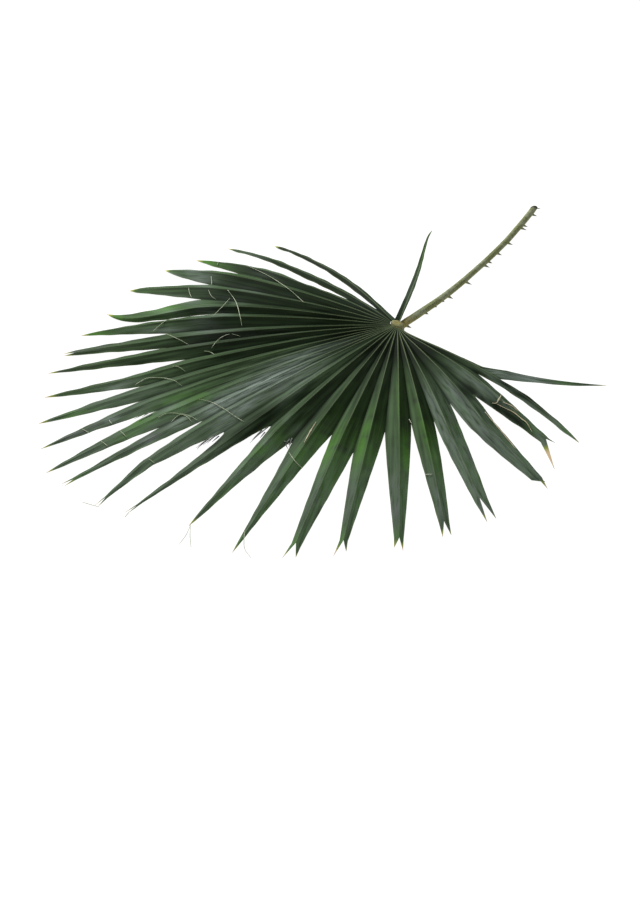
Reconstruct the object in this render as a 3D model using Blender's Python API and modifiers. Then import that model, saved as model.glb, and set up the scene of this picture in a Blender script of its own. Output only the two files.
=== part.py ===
"""A cut fan palm leaf that lies on a surface, underside up: a pleated green blade and its thorny stalk.

The origin is on the surface, under the head of the stalk. The blade fans out towards -Y and the stalk runs
towards +Y. An azimuth is in degrees from -Y, positive towards +X.
"""
import math
import random
from collections import namedtuple

import bmesh
import bpy
import numpy as np
from mathutils import Matrix, Vector

MM = 0.001

# Head of the stalk: an upright oval drum, wide across the leaf, that the rays spring from. Each level is a
# share of its height and the share of its width there, from the flat foot to the low dome.
HEAD_HALF_WIDTH = 12.0 * MM
HEAD_HALF_DEPTH = 7.7 * MM
HEAD_HEIGHT = 17.5 * MM
HEAD_SIDES = 24
HEAD_LEVELS = ((0.0, 0.62), (0.1, 0.86), (0.28, 0.98), (0.4, 1.0), (0.84, 1.0), (0.93, 0.88), (1.0, 0.55))
PIECE_GAP = 0.65 * MM

# Blade: a sheet in folds, with its inner edge round the head
BLADE_THICKNESS = 1.0 * MM
INNER_EDGE_HEIGHT = 14.0 * MM
TIP_HEIGHT = 0.65 * MM
ARCH = 11.0 * MM
FIRST_ROWS = (10.0 * MM, 15.0 * MM, 23.0 * MM, 37.0 * MM)
REGULAR_ROW_START = 60.0 * MM
ROW_STEP = 30.0 * MM
LAST_ROW_CLEARANCE = 10.0 * MM
OVAL_FADE = 20.0 * MM
FOLD_SLOPE = 0.46
FOLD_GROWTH = 60.0 * MM
FOLD_LOSS_AT_TIP = 0.35
FLAT_AZIMUTH = 2.0
FLAT_SPREAD = 13.0
FLAT_LOSS = 0.6
SWELL_SHARE = 0.35
ROOT_HALF_WIDTH = 1.4 * MM

# The rays on the +X side spring from the end of the oval head, so their roots lean forward
LEAN_FROM = 50.0
LEAN_SPAN = 46.0
LEAN = 30.0
LEAN_FADE = 50.0 * MM

# One ray, in millimetres and degrees. Its midrib: azimuth, the distance from which it bends, the azimuth and
# the length at its tip. The valley to the next ray: its azimuth and how far out it parts. Its free end: the
# depth of the forked tip, the least half width that it swells to, the power of its taper and its end's share
# of the width. A bow swings a midrib sideways before its tip. A prong is how far each point of a fork lies from
# the midrib.
Ray = namedtuple(
    "Ray", "azimuth bend tip_azimuth length valley split fork swell taper end swell_from bow prong",
    defaults=(0.0, 0.0, 0.0))
RAYS = (
    Ray(-143.0, 20, -138.7, 316, -116.0, 15, 0, 3.1, 1.2, 0.15, 0, 0.9),
    Ray(-95.8, 130, -92.4, 314, -90.0, 45, 0, 8.4, 0.9, 0.4),
    Ray(-83.5, 270, -82.2, 352, -79.0, 90, 0, 9, 1.6, 0.35),
    Ray(-74.5, 230, -72.9, 363, -70.5, 230, 0, 20, 1.7, 0.12, 160),
    Ray(-65.5, 240, -65.2, 384, -60.5, 285, 0, 24, 1.6, 0.15),
    Ray(-56.0, 250, -54.3, 404, -51.3, 285, 0, 0, 1.2, 0.2),
    Ray(-46.0, 180, -44.3, 416, -43.0, 245, 0, 0, 1.6, 0.1, 0, 4.2),
    Ray(-37.3, 230, -36.0, 443, -32.5, 315, 0, 0, 1.0, 0.1),
    Ray(-27.9, 330, -29.6, 466, -25.5, 325, 18, 0, 1.0, 0.25, 0, 0, 3.0),
    Ray(-21.7, 300, -24.2, 490, -18.3, 305, 0, 0, 1.0, 0.12),
    Ray(-14.8, 380, -17.4, 505, -12.0, 375, 0, 0, 1.1, 0.12),
    Ray(-9.4, 380, -10.9, 530, -7.2, 395, 0, 0, 1.2, 0.1),
    Ray(-5.1, 400, -4.9, 550, -2.3, 390, 0, 0, 0.9, 0.12),
    Ray(0.1, 420, 0.4, 570, 2.7, 410, 0, 0, 0.9, 0.12),
    Ray(4.6, 380, 4.0, 568, 6.8, 360, 16, 0, 0.9, 0.15, 0, 0, 3.0),
    Ray(8.7, 470, 10.5, 567, 13.0, 360, 20, 14, 0.8, 0.03, 0, 0, 2.5),
    Ray(16.6, 300, 14.4, 554, 20.0, 315, 20, 0, 0.55, 0.04, 0, 0, 2.0),
    Ray(23.0, 330, 22.8, 532, 27.3, 330, 0, 0, 0.75, 0.06),
    Ray(30.9, 320, 30.5, 556, 34.9, 300, 0, 0, 0.85, 0.02),
    Ray(37.9, 320, 37.6, 544, 41.4, 330, 26, 0, 1.1, 0.25),
    Ray(44.2, 300, 43.7, 524, 47.8, 280, 24, 0, 1.1, 0.2),
    Ray(51.6, 300, 51.4, 508, 55.0, 260, 20, 0, 1.35, 0.26),
    Ray(58.3, 300, 58.2, 484, 61.7, 255, 26, 0, 1.5, 0.32),
    Ray(64.5, 300, 65.2, 462, 69.3, 220, 42, 0, 1.7, 0.4),
    Ray(74.6, 280, 77.6, 418, 79.5, 210, 20, 0, 1.8, 0.25),
    Ray(85.6, 240, 86.4, 358, 90.3, 172, 26, 0, 1.0, 0.25),
    Ray(93.8, 210, 92.0, 358, 94.6, 197, 0, 8, 1.0, 0.3),
    Ray(95.3, 160, 116.4, 310, 0.0, 0, 0, 8.5, 0.55, 0.15, 80),
)

# Uneven forks, by the place of the ray in that list: the distance and azimuth of the two points
FORK_POINTS = {
    19: ((545.0 * MM, 36.7), (541.0 * MM, 38.3)),
    20: ((528.0 * MM, 42.9), (517.0 * MM, 44.4)),
    21: ((504.0 * MM, 50.7), (510.0 * MM, 51.9)),
    22: ((484.0 * MM, 57.6), (481.0 * MM, 58.9)),
    23: ((463.0 * MM, 64.8), (457.0 * MM, 66.4)),
    24: ((405.0 * MM, 78.3), (419.0 * MM, 77.6)),
    25: ((388.0 * MM, 81.9), (339.0 * MM, 87.9)),
}
BOW_PEAK = 0.1055

# Stalk: the points that its axis passes, then its width and height at the head, midway and at the cut
STALK_AXIS = ((0, 0, 6.5), (-7.6, 20, 6.2), (-15.6, 50, 5.6), (-38, 127, 5.2), (-72, 217, 5.2),
              (-108, 300, 5.2), (-152, 384, 4.2), (-166, 408, 3.7))
STALK_WIDTHS = (13.2 * MM, 9.6 * MM, 10.2 * MM)
STALK_HEIGHTS = (8.5 * MM, 7.2 * MM, 7.6 * MM)
AXIS_STEPS = 12
AXIS_REACH = 4.0 * MM
STALK_SECTIONS = 17
STALK_SIDES = 12
STALK_TOP_SHARE = 0.56
CUT_SLANT = 0.55

# Thorns: how far along the stalk each one on the open side stands, and how far its point lies from the axis
NEAR_THORNS = ((18, 13.0), (65, 9.5), (89, 7.5), (108, 7.5), (124, 12.0), (175, 13.5), (234, 12.0),
               (247, 10.0), (277, 11.0), (315, 12.0), (370, 13.0), (380, 11.0), (421, 11.5))
FAR_THORN_START = 44.0
FAR_THORN_STEP = 46.0
FAR_THORN_COUNT = 8
FAR_THORN_SCATTER = 8.0
FAR_THORN_REACH = 8.0
THORN_ROOT_RADIUS = 1.9 * MM
THORN_TIP_RADIUS = 0.25 * MM
THORN_ROOT_DEPTH = 1.5 * MM
THORN_SIDES = 6
THORN_DROOP = 0.25
SEED = 7

SHARP_ANGLE = 40.0


def clear_scene():
    for old in list(bpy.data.objects):
        bpy.data.objects.remove(old, do_unlink=True)


def make_collection(name):
    collection = bpy.data.collections.new(name)
    bpy.context.scene.collection.children.link(collection)
    return collection


def make_material(name, colour, roughness):
    material = bpy.data.materials.new(name)
    material.use_nodes = True
    shader = material.node_tree.nodes["Principled BSDF"]
    shader.inputs["Base Color"].default_value = (*colour, 1.0)
    shader.inputs["Roughness"].default_value = roughness
    shader.inputs["Metallic"].default_value = 0.0
    return material


def make_object(name, bm, collection, material):
    """Turn a bmesh into an object of the collection, with its faces pointing out."""
    bmesh.ops.recalc_face_normals(bm, faces=bm.faces)
    mesh = bpy.data.meshes.new(name)
    bm.to_mesh(mesh)
    bm.free()
    mesh.materials.append(material)
    part = bpy.data.objects.new(name, mesh)
    collection.objects.link(part)
    return part


def smooth_step(value):
    share = min(max(value, 0.0), 1.0)
    return share * share * (3.0 - 2.0 * share)


def leaned(azimuth, radius):
    """The azimuth at this radius of a line that far out has the given azimuth."""
    share = min(max((azimuth - LEAN_FROM) / LEAN_SPAN, 0.0), 1.0)
    return azimuth - LEAN * share ** 1.5 * math.exp(-radius / LEAN_FADE)


def blade_point(azimuth, radius, height):
    """A point of the sheet. Near the head, the radius grows or shrinks to follow the head's oval."""
    angle = math.radians(leaned(azimuth, radius))
    across = math.sin(angle) / (HEAD_HALF_WIDTH + PIECE_GAP)
    along = math.cos(angle) / (HEAD_HALF_DEPTH + PIECE_GAP)
    oval = 1.0 / math.hypot(across, along)
    from_edge = radius - FIRST_ROWS[0]
    reach = radius + (oval - FIRST_ROWS[0]) * math.exp(-from_edge / OVAL_FADE)
    return Vector((reach * math.sin(angle), -reach * math.cos(angle), height))


def length_share(ray, radius):
    inner = FIRST_ROWS[0]
    return min(max((radius - inner) / (ray.length * MM - inner), 0.0), 1.0)


def valley_height(ray, radius):
    """Height of the sheet's valleys and margins: a straight fall to the tip, and an arch over it."""
    share = length_share(ray, radius)
    fall = INNER_EDGE_HEIGHT * (1.0 - share) + TIP_HEIGHT * share
    return fall + 4.0 * ARCH * share * (1.0 - share)


def fold_slope(ray, radius):
    """Rise of a fold over its half width: none at the head, steep a little way out, shallow at the tip and
    for the rays in the middle of the blade."""
    growth = smooth_step((radius - FIRST_ROWS[0]) / FOLD_GROWTH)
    flat = 1.0 - FLAT_LOSS * math.exp(-((ray.azimuth - FLAT_AZIMUTH) / FLAT_SPREAD) ** 2)
    return FOLD_SLOPE * flat * growth * (1.0 - FOLD_LOSS_AT_TIP * length_share(ray, radius))


def midrib_azimuth(ray, radius):
    start = ray.bend * MM
    share = min(max((radius - start) / (ray.length * MM - start), 0.0), 1.0)
    bow = ray.bow * share ** 3 * (1.0 - share) / BOW_PEAK
    return ray.azimuth + (ray.tip_azimuth - ray.azimuth) * share + bow


def side_limits(index, side):
    """The azimuth and radius where a ray's side comes free; an outer side is free from the inner edge."""
    gap = index if side > 0 else index - 1
    if gap < 0 or gap == len(RAYS) - 1:
        spread = math.degrees(ROOT_HALF_WIDTH / FIRST_ROWS[0])
        return RAYS[index].azimuth + side * spread, FIRST_ROWS[0]
    return RAYS[gap].valley, RAYS[gap].split * MM


def half_width(index, side, radius):
    """Width of a ray from midrib to margin, measured across the ray."""
    ray = RAYS[index]
    valley, split = side_limits(index, side)
    if radius <= split:
        return radius * math.radians(abs(valley - midrib_azimuth(ray, radius)))
    at_split = split * math.radians(abs(valley - midrib_azimuth(ray, split)))
    share = (radius - split) / (ray.length * MM - split)
    grown = max(0.0, radius - max(split, ray.swell_from * MM)) / (ray.length * MM - split)
    swollen = at_split + max(0.0, ray.swell * MM - at_split) * smooth_step(grown / SWELL_SHARE)
    return swollen * (1.0 - (1.0 - ray.end) * min(share, 1.0) ** ray.taper)


def common_rows():
    longest = max(ray.length for ray in RAYS) * MM
    return list(FIRST_ROWS) + list(np.arange(REGULAR_ROW_START, longest, ROW_STEP))


def ridge_point(index, radius):
    ray = RAYS[index]
    width = (half_width(index, -1, radius) + half_width(index, 1, radius)) / 2.0
    height = valley_height(ray, radius) + fold_slope(ray, radius) * width
    return blade_point(midrib_azimuth(ray, radius), radius, height)


def margin_point(index, side, radius):
    ray = RAYS[index]
    spread = side * math.degrees(half_width(index, side, radius) / radius)
    return blade_point(midrib_azimuth(ray, radius) + spread, radius, valley_height(ray, radius))


def valley_point(gap, radius):
    """A point that two neighbouring rays share, at the mean of the heights that each would give it."""
    height = (valley_height(RAYS[gap], radius) + valley_height(RAYS[gap + 1], radius)) / 2.0
    return blade_point(RAYS[gap].valley, radius, height)


def fork_point(index, side):
    """Where one point of a forked tip lies."""
    ray = RAYS[index]
    if index in FORK_POINTS:
        reach, azimuth = FORK_POINTS[index][side > 0]
    else:
        reach = ray.length * MM
        azimuth = ray.tip_azimuth + math.degrees(side * ray.prong * MM / reach)
    return blade_point(azimuth, reach, TIP_HEIGHT)


def blade_surface():
    """The folded sheet as an open surface of triangles, each ray two strips between midrib and margin."""
    bm = bmesh.new()
    shared = {}

    def vertex(key, place):
        if key not in shared:
            shared[key] = bm.verts.new(place)
        return shared[key]

    rows = common_rows()
    split_rows = [int(np.argmin([abs(row - ray.split * MM) for row in rows])) for ray in RAYS]
    for index, ray in enumerate(RAYS):
        length = ray.length * MM
        body_end = length - ray.fork * MM
        own_rows = [row for row in rows if row < body_end - LAST_ROW_CLEARANCE]
        if ray.fork:
            own_rows.append(body_end)
        for side in (-1, 1):
            gap = index if side > 0 else index - 1
            has_neighbour = 0 <= gap < len(RAYS) - 1
            inner, outer = [], []
            for number, radius in enumerate(own_rows):
                inner.append(vertex((index, "ridge", number), ridge_point(index, radius)))
                if has_neighbour and number <= split_rows[gap]:
                    place = RAYS[gap].split * MM if number == split_rows[gap] else radius
                    outer.append(vertex((gap, "valley", number), valley_point(gap, place)))
                else:
                    outer.append(vertex((index, side, number), margin_point(index, side, radius)))
            for number in range(len(own_rows) - 1):
                bm.faces.new((inner[number], outer[number], outer[number + 1]))
                bm.faces.new((inner[number], outer[number + 1], inner[number + 1]))
            if ray.fork:
                tip = vertex((index, side, "tip"), fork_point(index, side))
            else:
                tip = vertex((index, "tip"), blade_point(ray.tip_azimuth, length, TIP_HEIGHT))
            bm.faces.new((inner[-1], outer[-1], tip))
    return bm


def build_blade(collection):
    material = make_material("palm_blade_green", (0.030, 0.055, 0.026), 0.45)
    blade = make_object("leaf_blade", blade_surface(), collection, material)
    wall = blade.modifiers.new("thickness", "SOLIDIFY")
    wall.thickness = BLADE_THICKNESS
    wall.offset = 0.0
    return blade


def stalk_frames():
    """A smooth curve through the stalk's axis points, and how far along it each of its points lies."""
    points = [Vector(point) * MM for point in STALK_AXIS]
    points = [points[0] * 2.0 - points[1]] + points + [points[-1] * 2.0 - points[-2]]
    fine = []
    for a, b, c, d in zip(points, points[1:], points[2:], points[3:]):
        for step in range(AXIS_STEPS):
            t = step / AXIS_STEPS
            fine.append(0.5 * (2.0 * b + (c - a) * t + (2.0 * a - 5.0 * b + 4.0 * c - d) * t * t
                               + (3.0 * b - a - 3.0 * c + d) * t ** 3))
    fine.append(points[-2])
    along = [0.0]
    for first, second in zip(fine, fine[1:]):
        along.append(along[-1] + (second - first).length)
    return fine, along


def stalk_place(frames, distance):
    """The axis point, its direction and its level sideways direction at a distance along the stalk."""
    fine, along = frames
    columns = [[point[k] for point in fine] for k in range(3)]
    axis = Vector([np.interp(distance, along, column) for column in columns])
    ahead = Vector([np.interp(distance + AXIS_REACH, along, column) for column in columns])
    behind = Vector([np.interp(distance - AXIS_REACH, along, column) for column in columns])
    way = (ahead - behind).normalized()
    return axis, way, way.cross(Vector((0.0, 0.0, 1.0))).normalized()


def stalk_size(sizes, share):
    """A width or height between the values at the head, midway and at the cut."""
    if share < 0.5:
        return sizes[0] + (sizes[1] - sizes[0]) * smooth_step(share * 2.0)
    return sizes[1] + (sizes[2] - sizes[1]) * smooth_step(share * 2.0 - 1.0)


def stalk_surface(frames):
    """Rings round the axis, flatter below than above, joined by quads; the last ring slants with the cut."""
    bm = bmesh.new()
    length = frames[1][-1]
    rings = []
    for share in np.linspace(0.0, 1.0, STALK_SECTIONS):
        axis, way, sideways = stalk_place(frames, share * length)
        width = stalk_size(STALK_WIDTHS, share)
        height = stalk_size(STALK_HEIGHTS, share)
        slant = CUT_SLANT if share == 1.0 else 0.0
        ring = []
        for corner in range(STALK_SIDES):
            angle = 2.0 * math.pi * corner / STALK_SIDES
            across = math.cos(angle) * width / 2.0
            part_above = STALK_TOP_SHARE if math.sin(angle) > 0.0 else 1.0 - STALK_TOP_SHARE
            rise = math.sin(angle) * height * part_above
            place = axis + sideways * across + way * slant * across + Vector((0.0, 0.0, rise))
            ring.append(bm.verts.new(place))
        rings.append(ring)
    for first, second in zip(rings, rings[1:]):
        for corner in range(STALK_SIDES):
            following = (corner + 1) % STALK_SIDES
            bm.faces.new((first[corner], first[following], second[following], second[corner]))
    bm.faces.new(rings[0])
    bm.faces.new(rings[-1])
    return bm


def head_surface():
    """The head as a stack of ovals: a small flat foot, upright sides and a low dome."""
    bm = bmesh.new()
    rings = []
    for height, share in HEAD_LEVELS:
        ring = bmesh.ops.create_circle(bm, segments=HEAD_SIDES, radius=share)["verts"]
        size = Matrix.Diagonal((HEAD_HALF_WIDTH, HEAD_HALF_DEPTH, 1.0, 1.0))
        place = Matrix.Translation((0.0, 0.0, height * HEAD_HEIGHT))
        bmesh.ops.transform(bm, matrix=place @ size, verts=ring)
        rings.append([edge for edge in bm.edges if all(end in ring for end in edge.verts)])
    for first, second in zip(rings, rings[1:]):
        bmesh.ops.bridge_loops(bm, edges=first + second)
    bmesh.ops.contextual_create(bm, geom=rings[0])
    bmesh.ops.contextual_create(bm, geom=rings[-1])
    return bm


def thorn_surface(frames, distance, reach, side):
    """A thorn that points outwards and a little down, its root sunk in the stalk."""
    length = frames[1][-1]
    axis, way, sideways = stalk_place(frames, distance)
    width = stalk_size(STALK_WIDTHS, distance / length)
    outwards = (sideways * side + Vector((0.0, 0.0, -THORN_DROOP))).normalized()
    start = width / 2.0 - THORN_ROOT_DEPTH
    bm = bmesh.new()
    bmesh.ops.create_cone(bm, cap_ends=True, segments=THORN_SIDES, radius1=THORN_ROOT_RADIUS,
                          radius2=THORN_TIP_RADIUS, depth=reach - start)
    turn = Vector((0.0, 0.0, 1.0)).rotation_difference(outwards).to_matrix().to_4x4()
    place = axis + outwards * (start + (reach - start) / 2.0)
    bmesh.ops.transform(bm, matrix=Matrix.Translation(place) @ turn, verts=bm.verts)
    return bm


def thorn_places():
    """Every thorn as distance, reach and side: measured on the open side, by a rule on the other."""
    near = [(distance * MM, reach * MM, 1) for distance, reach in NEAR_THORNS]
    scatter = random.Random(SEED)
    far = []
    for number in range(FAR_THORN_COUNT):
        distance = FAR_THORN_START + FAR_THORN_STEP * number + scatter.uniform(-1.0, 1.0) * FAR_THORN_SCATTER
        far.append((distance * MM, FAR_THORN_REACH * MM, -1))
    return near + far


def build_stalk(collection, cutters):
    """The stalk with its head and thorns joined to it in one body."""
    material = make_material("palm_stalk_olive", (0.150, 0.145, 0.058), 0.5)
    frames = stalk_frames()
    stalk = make_object("leaf_stalk", stalk_surface(frames), collection, material)
    make_object("stalk_head", head_surface(), cutters, material)
    for distance, reach, side in thorn_places():
        make_object("stalk_thorn", thorn_surface(frames, distance, reach, side), cutters, material)
    join = stalk.modifiers.new("join", "BOOLEAN")
    join.operation = "UNION"
    join.operand_type = "COLLECTION"
    join.collection = cutters
    bpy.context.view_layer.update()
    evaluated = stalk.evaluated_get(bpy.context.evaluated_depsgraph_get())
    joined = bpy.data.meshes.new_from_object(evaluated)
    stalk.modifiers.clear()
    stalk.data = joined
    for piece in list(cutters.objects):
        bpy.data.objects.remove(piece, do_unlink=True)
    joined.shade_smooth()
    joined.set_sharp_from_angle(angle=math.radians(SHARP_ANGLE))
    return stalk


def main():
    clear_scene()
    leaf = make_collection("fan_palm_leaf")
    cutters = make_collection("joined_pieces")
    build_blade(leaf)
    build_stalk(leaf, cutters)


main()
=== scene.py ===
"""A cut fan palm leaf, underside up, on a pale studio floor.

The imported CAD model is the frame. The blade and the stalk are made again with the same formulas and finer
relief, and the threads, frayed slivers and dry strips that hang on them are added. Places are in metres.
"""
import math
import random
from collections import namedtuple
from functools import partial

import bmesh
import bpy
import numpy as np
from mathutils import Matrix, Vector
from mathutils.bvhtree import BVHTree


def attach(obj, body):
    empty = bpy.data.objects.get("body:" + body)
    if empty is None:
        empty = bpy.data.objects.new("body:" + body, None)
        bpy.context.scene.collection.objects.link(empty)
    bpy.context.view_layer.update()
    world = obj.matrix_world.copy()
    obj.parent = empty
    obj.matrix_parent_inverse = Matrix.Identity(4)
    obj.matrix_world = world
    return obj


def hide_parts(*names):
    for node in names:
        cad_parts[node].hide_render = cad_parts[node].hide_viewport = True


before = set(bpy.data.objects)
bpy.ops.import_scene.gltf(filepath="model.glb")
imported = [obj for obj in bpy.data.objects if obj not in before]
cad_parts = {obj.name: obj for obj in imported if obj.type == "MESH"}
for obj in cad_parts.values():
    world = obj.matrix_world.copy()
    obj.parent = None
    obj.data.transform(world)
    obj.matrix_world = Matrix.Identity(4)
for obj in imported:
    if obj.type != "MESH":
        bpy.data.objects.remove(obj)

bl_info = {
    "name": "Fan Palm Leaf",
    "version": (1, 0, 0),
    "blender": (4, 5, 0),
    "location": "View3D > Sidebar > Leaf",
    "description": "Builds the dressed pieces of a cut fan palm leaf and its studio",
    "category": "Add Mesh",
}

MM = 0.001
TINY = 1e-9
UPWARDS = np.array((0.0, 0.0, 1.0))

# The photograph's frame in pixels, and where its camera stands in the leaf's frame
PHOTO_WIDTH = 640
PHOTO_HEIGHT = 905
FOCAL_PIXELS = 1968.0
CAMERA_PLACE = np.array((1.83888, -1.52156, 1.40624))
CAMERA_AZIMUTH = math.radians(53.0)
CAMERA_ELEVATION = math.radians(34.0)
SENSOR_WIDTH = 36.0

# Head of the stalk, as in the solids
HEAD_HALF_WIDTH = 12.0 * MM
HEAD_HALF_DEPTH = 7.7 * MM
HEAD_HEIGHT = 17.5 * MM
HEAD_LEVELS = ((0.0, 0.62), (0.1, 0.86), (0.28, 0.98), (0.4, 1.0), (0.84, 1.0), (0.93, 0.88), (1.0, 0.55))
PIECE_GAP = 0.65 * MM

# Blade, as in the solids
INNER_EDGE = 10.0 * MM
INNER_EDGE_HEIGHT = 14.0 * MM
TIP_HEIGHT = 0.65 * MM
ARCH = 11.0 * MM
SOLID_ROWS = np.array((10, 15, 23, 37, *range(60, 570, 30))) * MM
LAST_ROW_CLEARANCE = 10.0 * MM
CLOSING_CURVE = 0.9
OVAL_FADE = 20.0 * MM
FOLD_SLOPE = 0.46
FOLD_GROWTH = 60.0 * MM
FOLD_LOSS_AT_TIP = 0.35
FLAT_AZIMUTH = 2.0
FLAT_SPREAD = 13.0
FLAT_LOSS = 0.6
SWELL_SHARE = 0.35
ROOT_HALF_WIDTH = 1.4 * MM
LEAN_FROM = 50.0
LEAN_SPAN = 46.0
LEAN = 30.0
LEAN_CURVE = 1.5
LEAN_FADE = 50.0 * MM

# One ray, in millimetres and degrees, as in the solids
RAY_FIELDS = "azimuth bend tip_azimuth length valley split fork swell taper end swell_from bow prong"
Ray = namedtuple("Ray", RAY_FIELDS, defaults=(0.0, 0.0, 0.0))
RAYS = (
    Ray(-143.0, 20, -138.7, 316, -116.0, 15, 0, 3.1, 1.2, 0.15, 0, 0.9),
    Ray(-95.8, 130, -92.4, 314, -90.0, 45, 0, 8.4, 0.9, 0.4),
    Ray(-83.5, 270, -82.2, 352, -79.0, 90, 0, 9, 1.6, 0.35),
    Ray(-74.5, 230, -72.9, 363, -70.5, 230, 0, 20, 1.7, 0.12, 160),
    Ray(-65.5, 240, -65.2, 384, -60.5, 285, 0, 24, 1.6, 0.15),
    Ray(-56.0, 250, -54.3, 404, -51.3, 285, 0, 0, 1.2, 0.2),
    Ray(-46.0, 180, -44.3, 416, -43.0, 245, 0, 0, 1.6, 0.1, 0, 4.2),
    Ray(-37.3, 230, -36.0, 443, -32.5, 315, 0, 0, 1.0, 0.1),
    Ray(-27.9, 330, -29.6, 466, -25.5, 325, 18, 0, 1.0, 0.25, 0, 0, 3.0),
    Ray(-21.7, 300, -24.2, 490, -18.3, 305, 0, 0, 1.0, 0.12),
    Ray(-14.8, 380, -17.4, 505, -12.0, 375, 0, 0, 1.1, 0.12),
    Ray(-9.4, 380, -10.9, 530, -7.2, 395, 0, 0, 1.2, 0.1),
    Ray(-5.1, 400, -4.9, 550, -2.3, 390, 0, 0, 0.9, 0.12),
    Ray(0.1, 420, 0.4, 570, 2.7, 410, 0, 0, 0.9, 0.12),
    Ray(4.6, 380, 4.0, 568, 6.8, 360, 16, 0, 0.9, 0.15, 0, 0, 3.0),
    Ray(8.7, 470, 10.5, 567, 13.0, 360, 20, 14, 0.8, 0.03, 0, 0, 2.5),
    Ray(16.6, 300, 14.4, 554, 20.0, 315, 20, 0, 0.55, 0.04, 0, 0, 2.0),
    Ray(23.0, 330, 22.8, 532, 27.3, 330, 0, 0, 0.75, 0.06),
    Ray(30.9, 320, 30.5, 556, 34.9, 300, 0, 0, 0.85, 0.02),
    Ray(37.9, 320, 37.6, 544, 41.4, 330, 26, 0, 1.1, 0.25),
    Ray(44.2, 300, 43.7, 524, 47.8, 280, 24, 0, 1.1, 0.2),
    Ray(51.6, 300, 51.4, 508, 55.0, 260, 20, 0, 1.35, 0.26),
    Ray(58.3, 300, 58.2, 484, 61.7, 255, 26, 0, 1.5, 0.32),
    Ray(64.5, 300, 65.2, 462, 69.3, 220, 42, 0, 1.7, 0.4),
    Ray(74.6, 280, 77.6, 418, 79.5, 210, 20, 0, 1.8, 0.25),
    Ray(85.6, 240, 86.4, 358, 90.3, 172, 26, 0, 1.0, 0.25),
    Ray(93.8, 210, 92.0, 358, 94.6, 197, 0, 8, 1.0, 0.3),
    Ray(95.3, 160, 116.4, 310, 0.0, 0, 0, 8.5, 0.55, 0.15, 80),
)

# Uneven forks, by the place of the ray in that list: the distance and azimuth of the two points
FORK_POINTS = {
    19: ((545.0 * MM, 36.7), (541.0 * MM, 38.3)),
    20: ((528.0 * MM, 42.9), (517.0 * MM, 44.4)),
    21: ((504.0 * MM, 50.7), (510.0 * MM, 51.9)),
    22: ((484.0 * MM, 57.6), (481.0 * MM, 58.9)),
    23: ((463.0 * MM, 64.8), (457.0 * MM, 66.4)),
    24: ((405.0 * MM, 78.3), (419.0 * MM, 77.6)),
    25: ((388.0 * MM, 81.9), (339.0 * MM, 87.9)),
}
BOW_PEAK = 0.1055

# Fine grid of the blade: rows outwards, and columns from a midrib to a margin, the last but one just inside
NEAR_ROWS = np.array((10, 11.5, 13.5, 16, 19, 23, 28, 34, 40)) * MM
FAR_ROW_START = 46.0 * MM
FAR_ROW_STEP = 6.5 * MM
LAMINA_COLUMNS = 7
LAST_COLUMN_SHARE = 0.94
PRONG_ROWS = 6
PRONG_CURVE = 1.15
WELD_DISTANCE = 0.00002

# Relief over the fold: the round midrib, the slow buckles of the lamina and the flutter of its free margins
RIB_SHARE_LIMIT = 0.3
RIB_ROUNDNESS = 0.6
RIB_GROWTH = 30.0 * MM
RIB_END = 12.0 * MM
RIB_LOSS_AT_TIP = 0.6
TIP_FADE = 25.0 * MM
BUCKLE_WAVES = (52.0 * MM, 83.0 * MM, 131.0 * MM)
BUCKLE_GROWTH = 150.0 * MM
FLUTTER_WAVES = (31.0 * MM, 47.0 * MM, 77.0 * MM)
FLUTTER_GROWTH = 60.0 * MM
FLUTTER_CLEARANCE = 6.0 * MM

# Lines drawn on a half ray: the pale midrib widens outwards and fades along the ray
RIB_LINE = 0.28 * MM
RIB_LINE_GAIN = 0.27 * MM
RIB_LINE_START = 8.0 * MM
RIB_LINE_SPAN = 50.0 * MM
RIB_LINE_FADE = 300.0 * MM
RIB_LINE_LEAST = 0.25
RIB_LINE_MORE = 0.7
RIB_LINE_AT_HEAD = 0.75
MARGIN_LINE = 0.5 * MM
MARGIN_LINE_START = 50.0 * MM
# Painted shade along the joined valleys, where the crease lies in shadow: its half width
VALLEY_SHADE_LINE = 2.2 * MM
DRY_TIP = 9.0 * MM

# Looks of whole half rays: limits of azimuth in degrees and a strength, then where they change along a ray.
# The right half of a fold turns away from the light, so it gets painted shade near the head, and the roots of
# most rays get painted shade where the folds crowd round the head
SHADED_ROOTS = ((-100.0, -20.0, 0.5), (-20.0, -8.0, 1.0), (-8.0, 22.0, 0.6), (22.0, 180.0, 1.0))
SHADED_RIGHT_HALVES = ((-180.0, -12.0, 0.8), (20.0, 60.0, 0.8), (60.0, 180.0, 0.45))
# Painted light through the leaf: the right halves of the lower rays are painted a fresher green
LIT_THROUGH_RIGHT_HALVES = ((25.0, 90.0, 0.4),)
# A thin grey of wax bloom and painted sheen on the outer parts of the rays
OUTER_BLOOM_AND_SHEEN = ((-10.0, 180.0, 0.22),)
# Painted light: the right-hand rays, turned from the light, are painted lighter with the bloom grey
SIDE_PAINTED_LIGHT = ((60.0, 180.0, 0.38),)
LOOK_SPAN = 120.0 * MM
SHADED_ROOT_END = 80.0 * MM
SHADED_HALF_END = 240.0 * MM
LIT_THROUGH_START = 140.0 * MM
LIT_THROUGH_END_SHARE = 0.8
BLOOM_AND_SHEEN_ON_LIT_THROUGH = 0.6
MAUVE_ON_LIT_THROUGH = 0.45
OUTER_BLOOM_AND_SHEEN_START = 280.0 * MM
OUTER_BLOOM_AND_SHEEN_SPAN = 150.0 * MM
SIDE_PAINTED_LIGHT_START = 120.0 * MM

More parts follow.
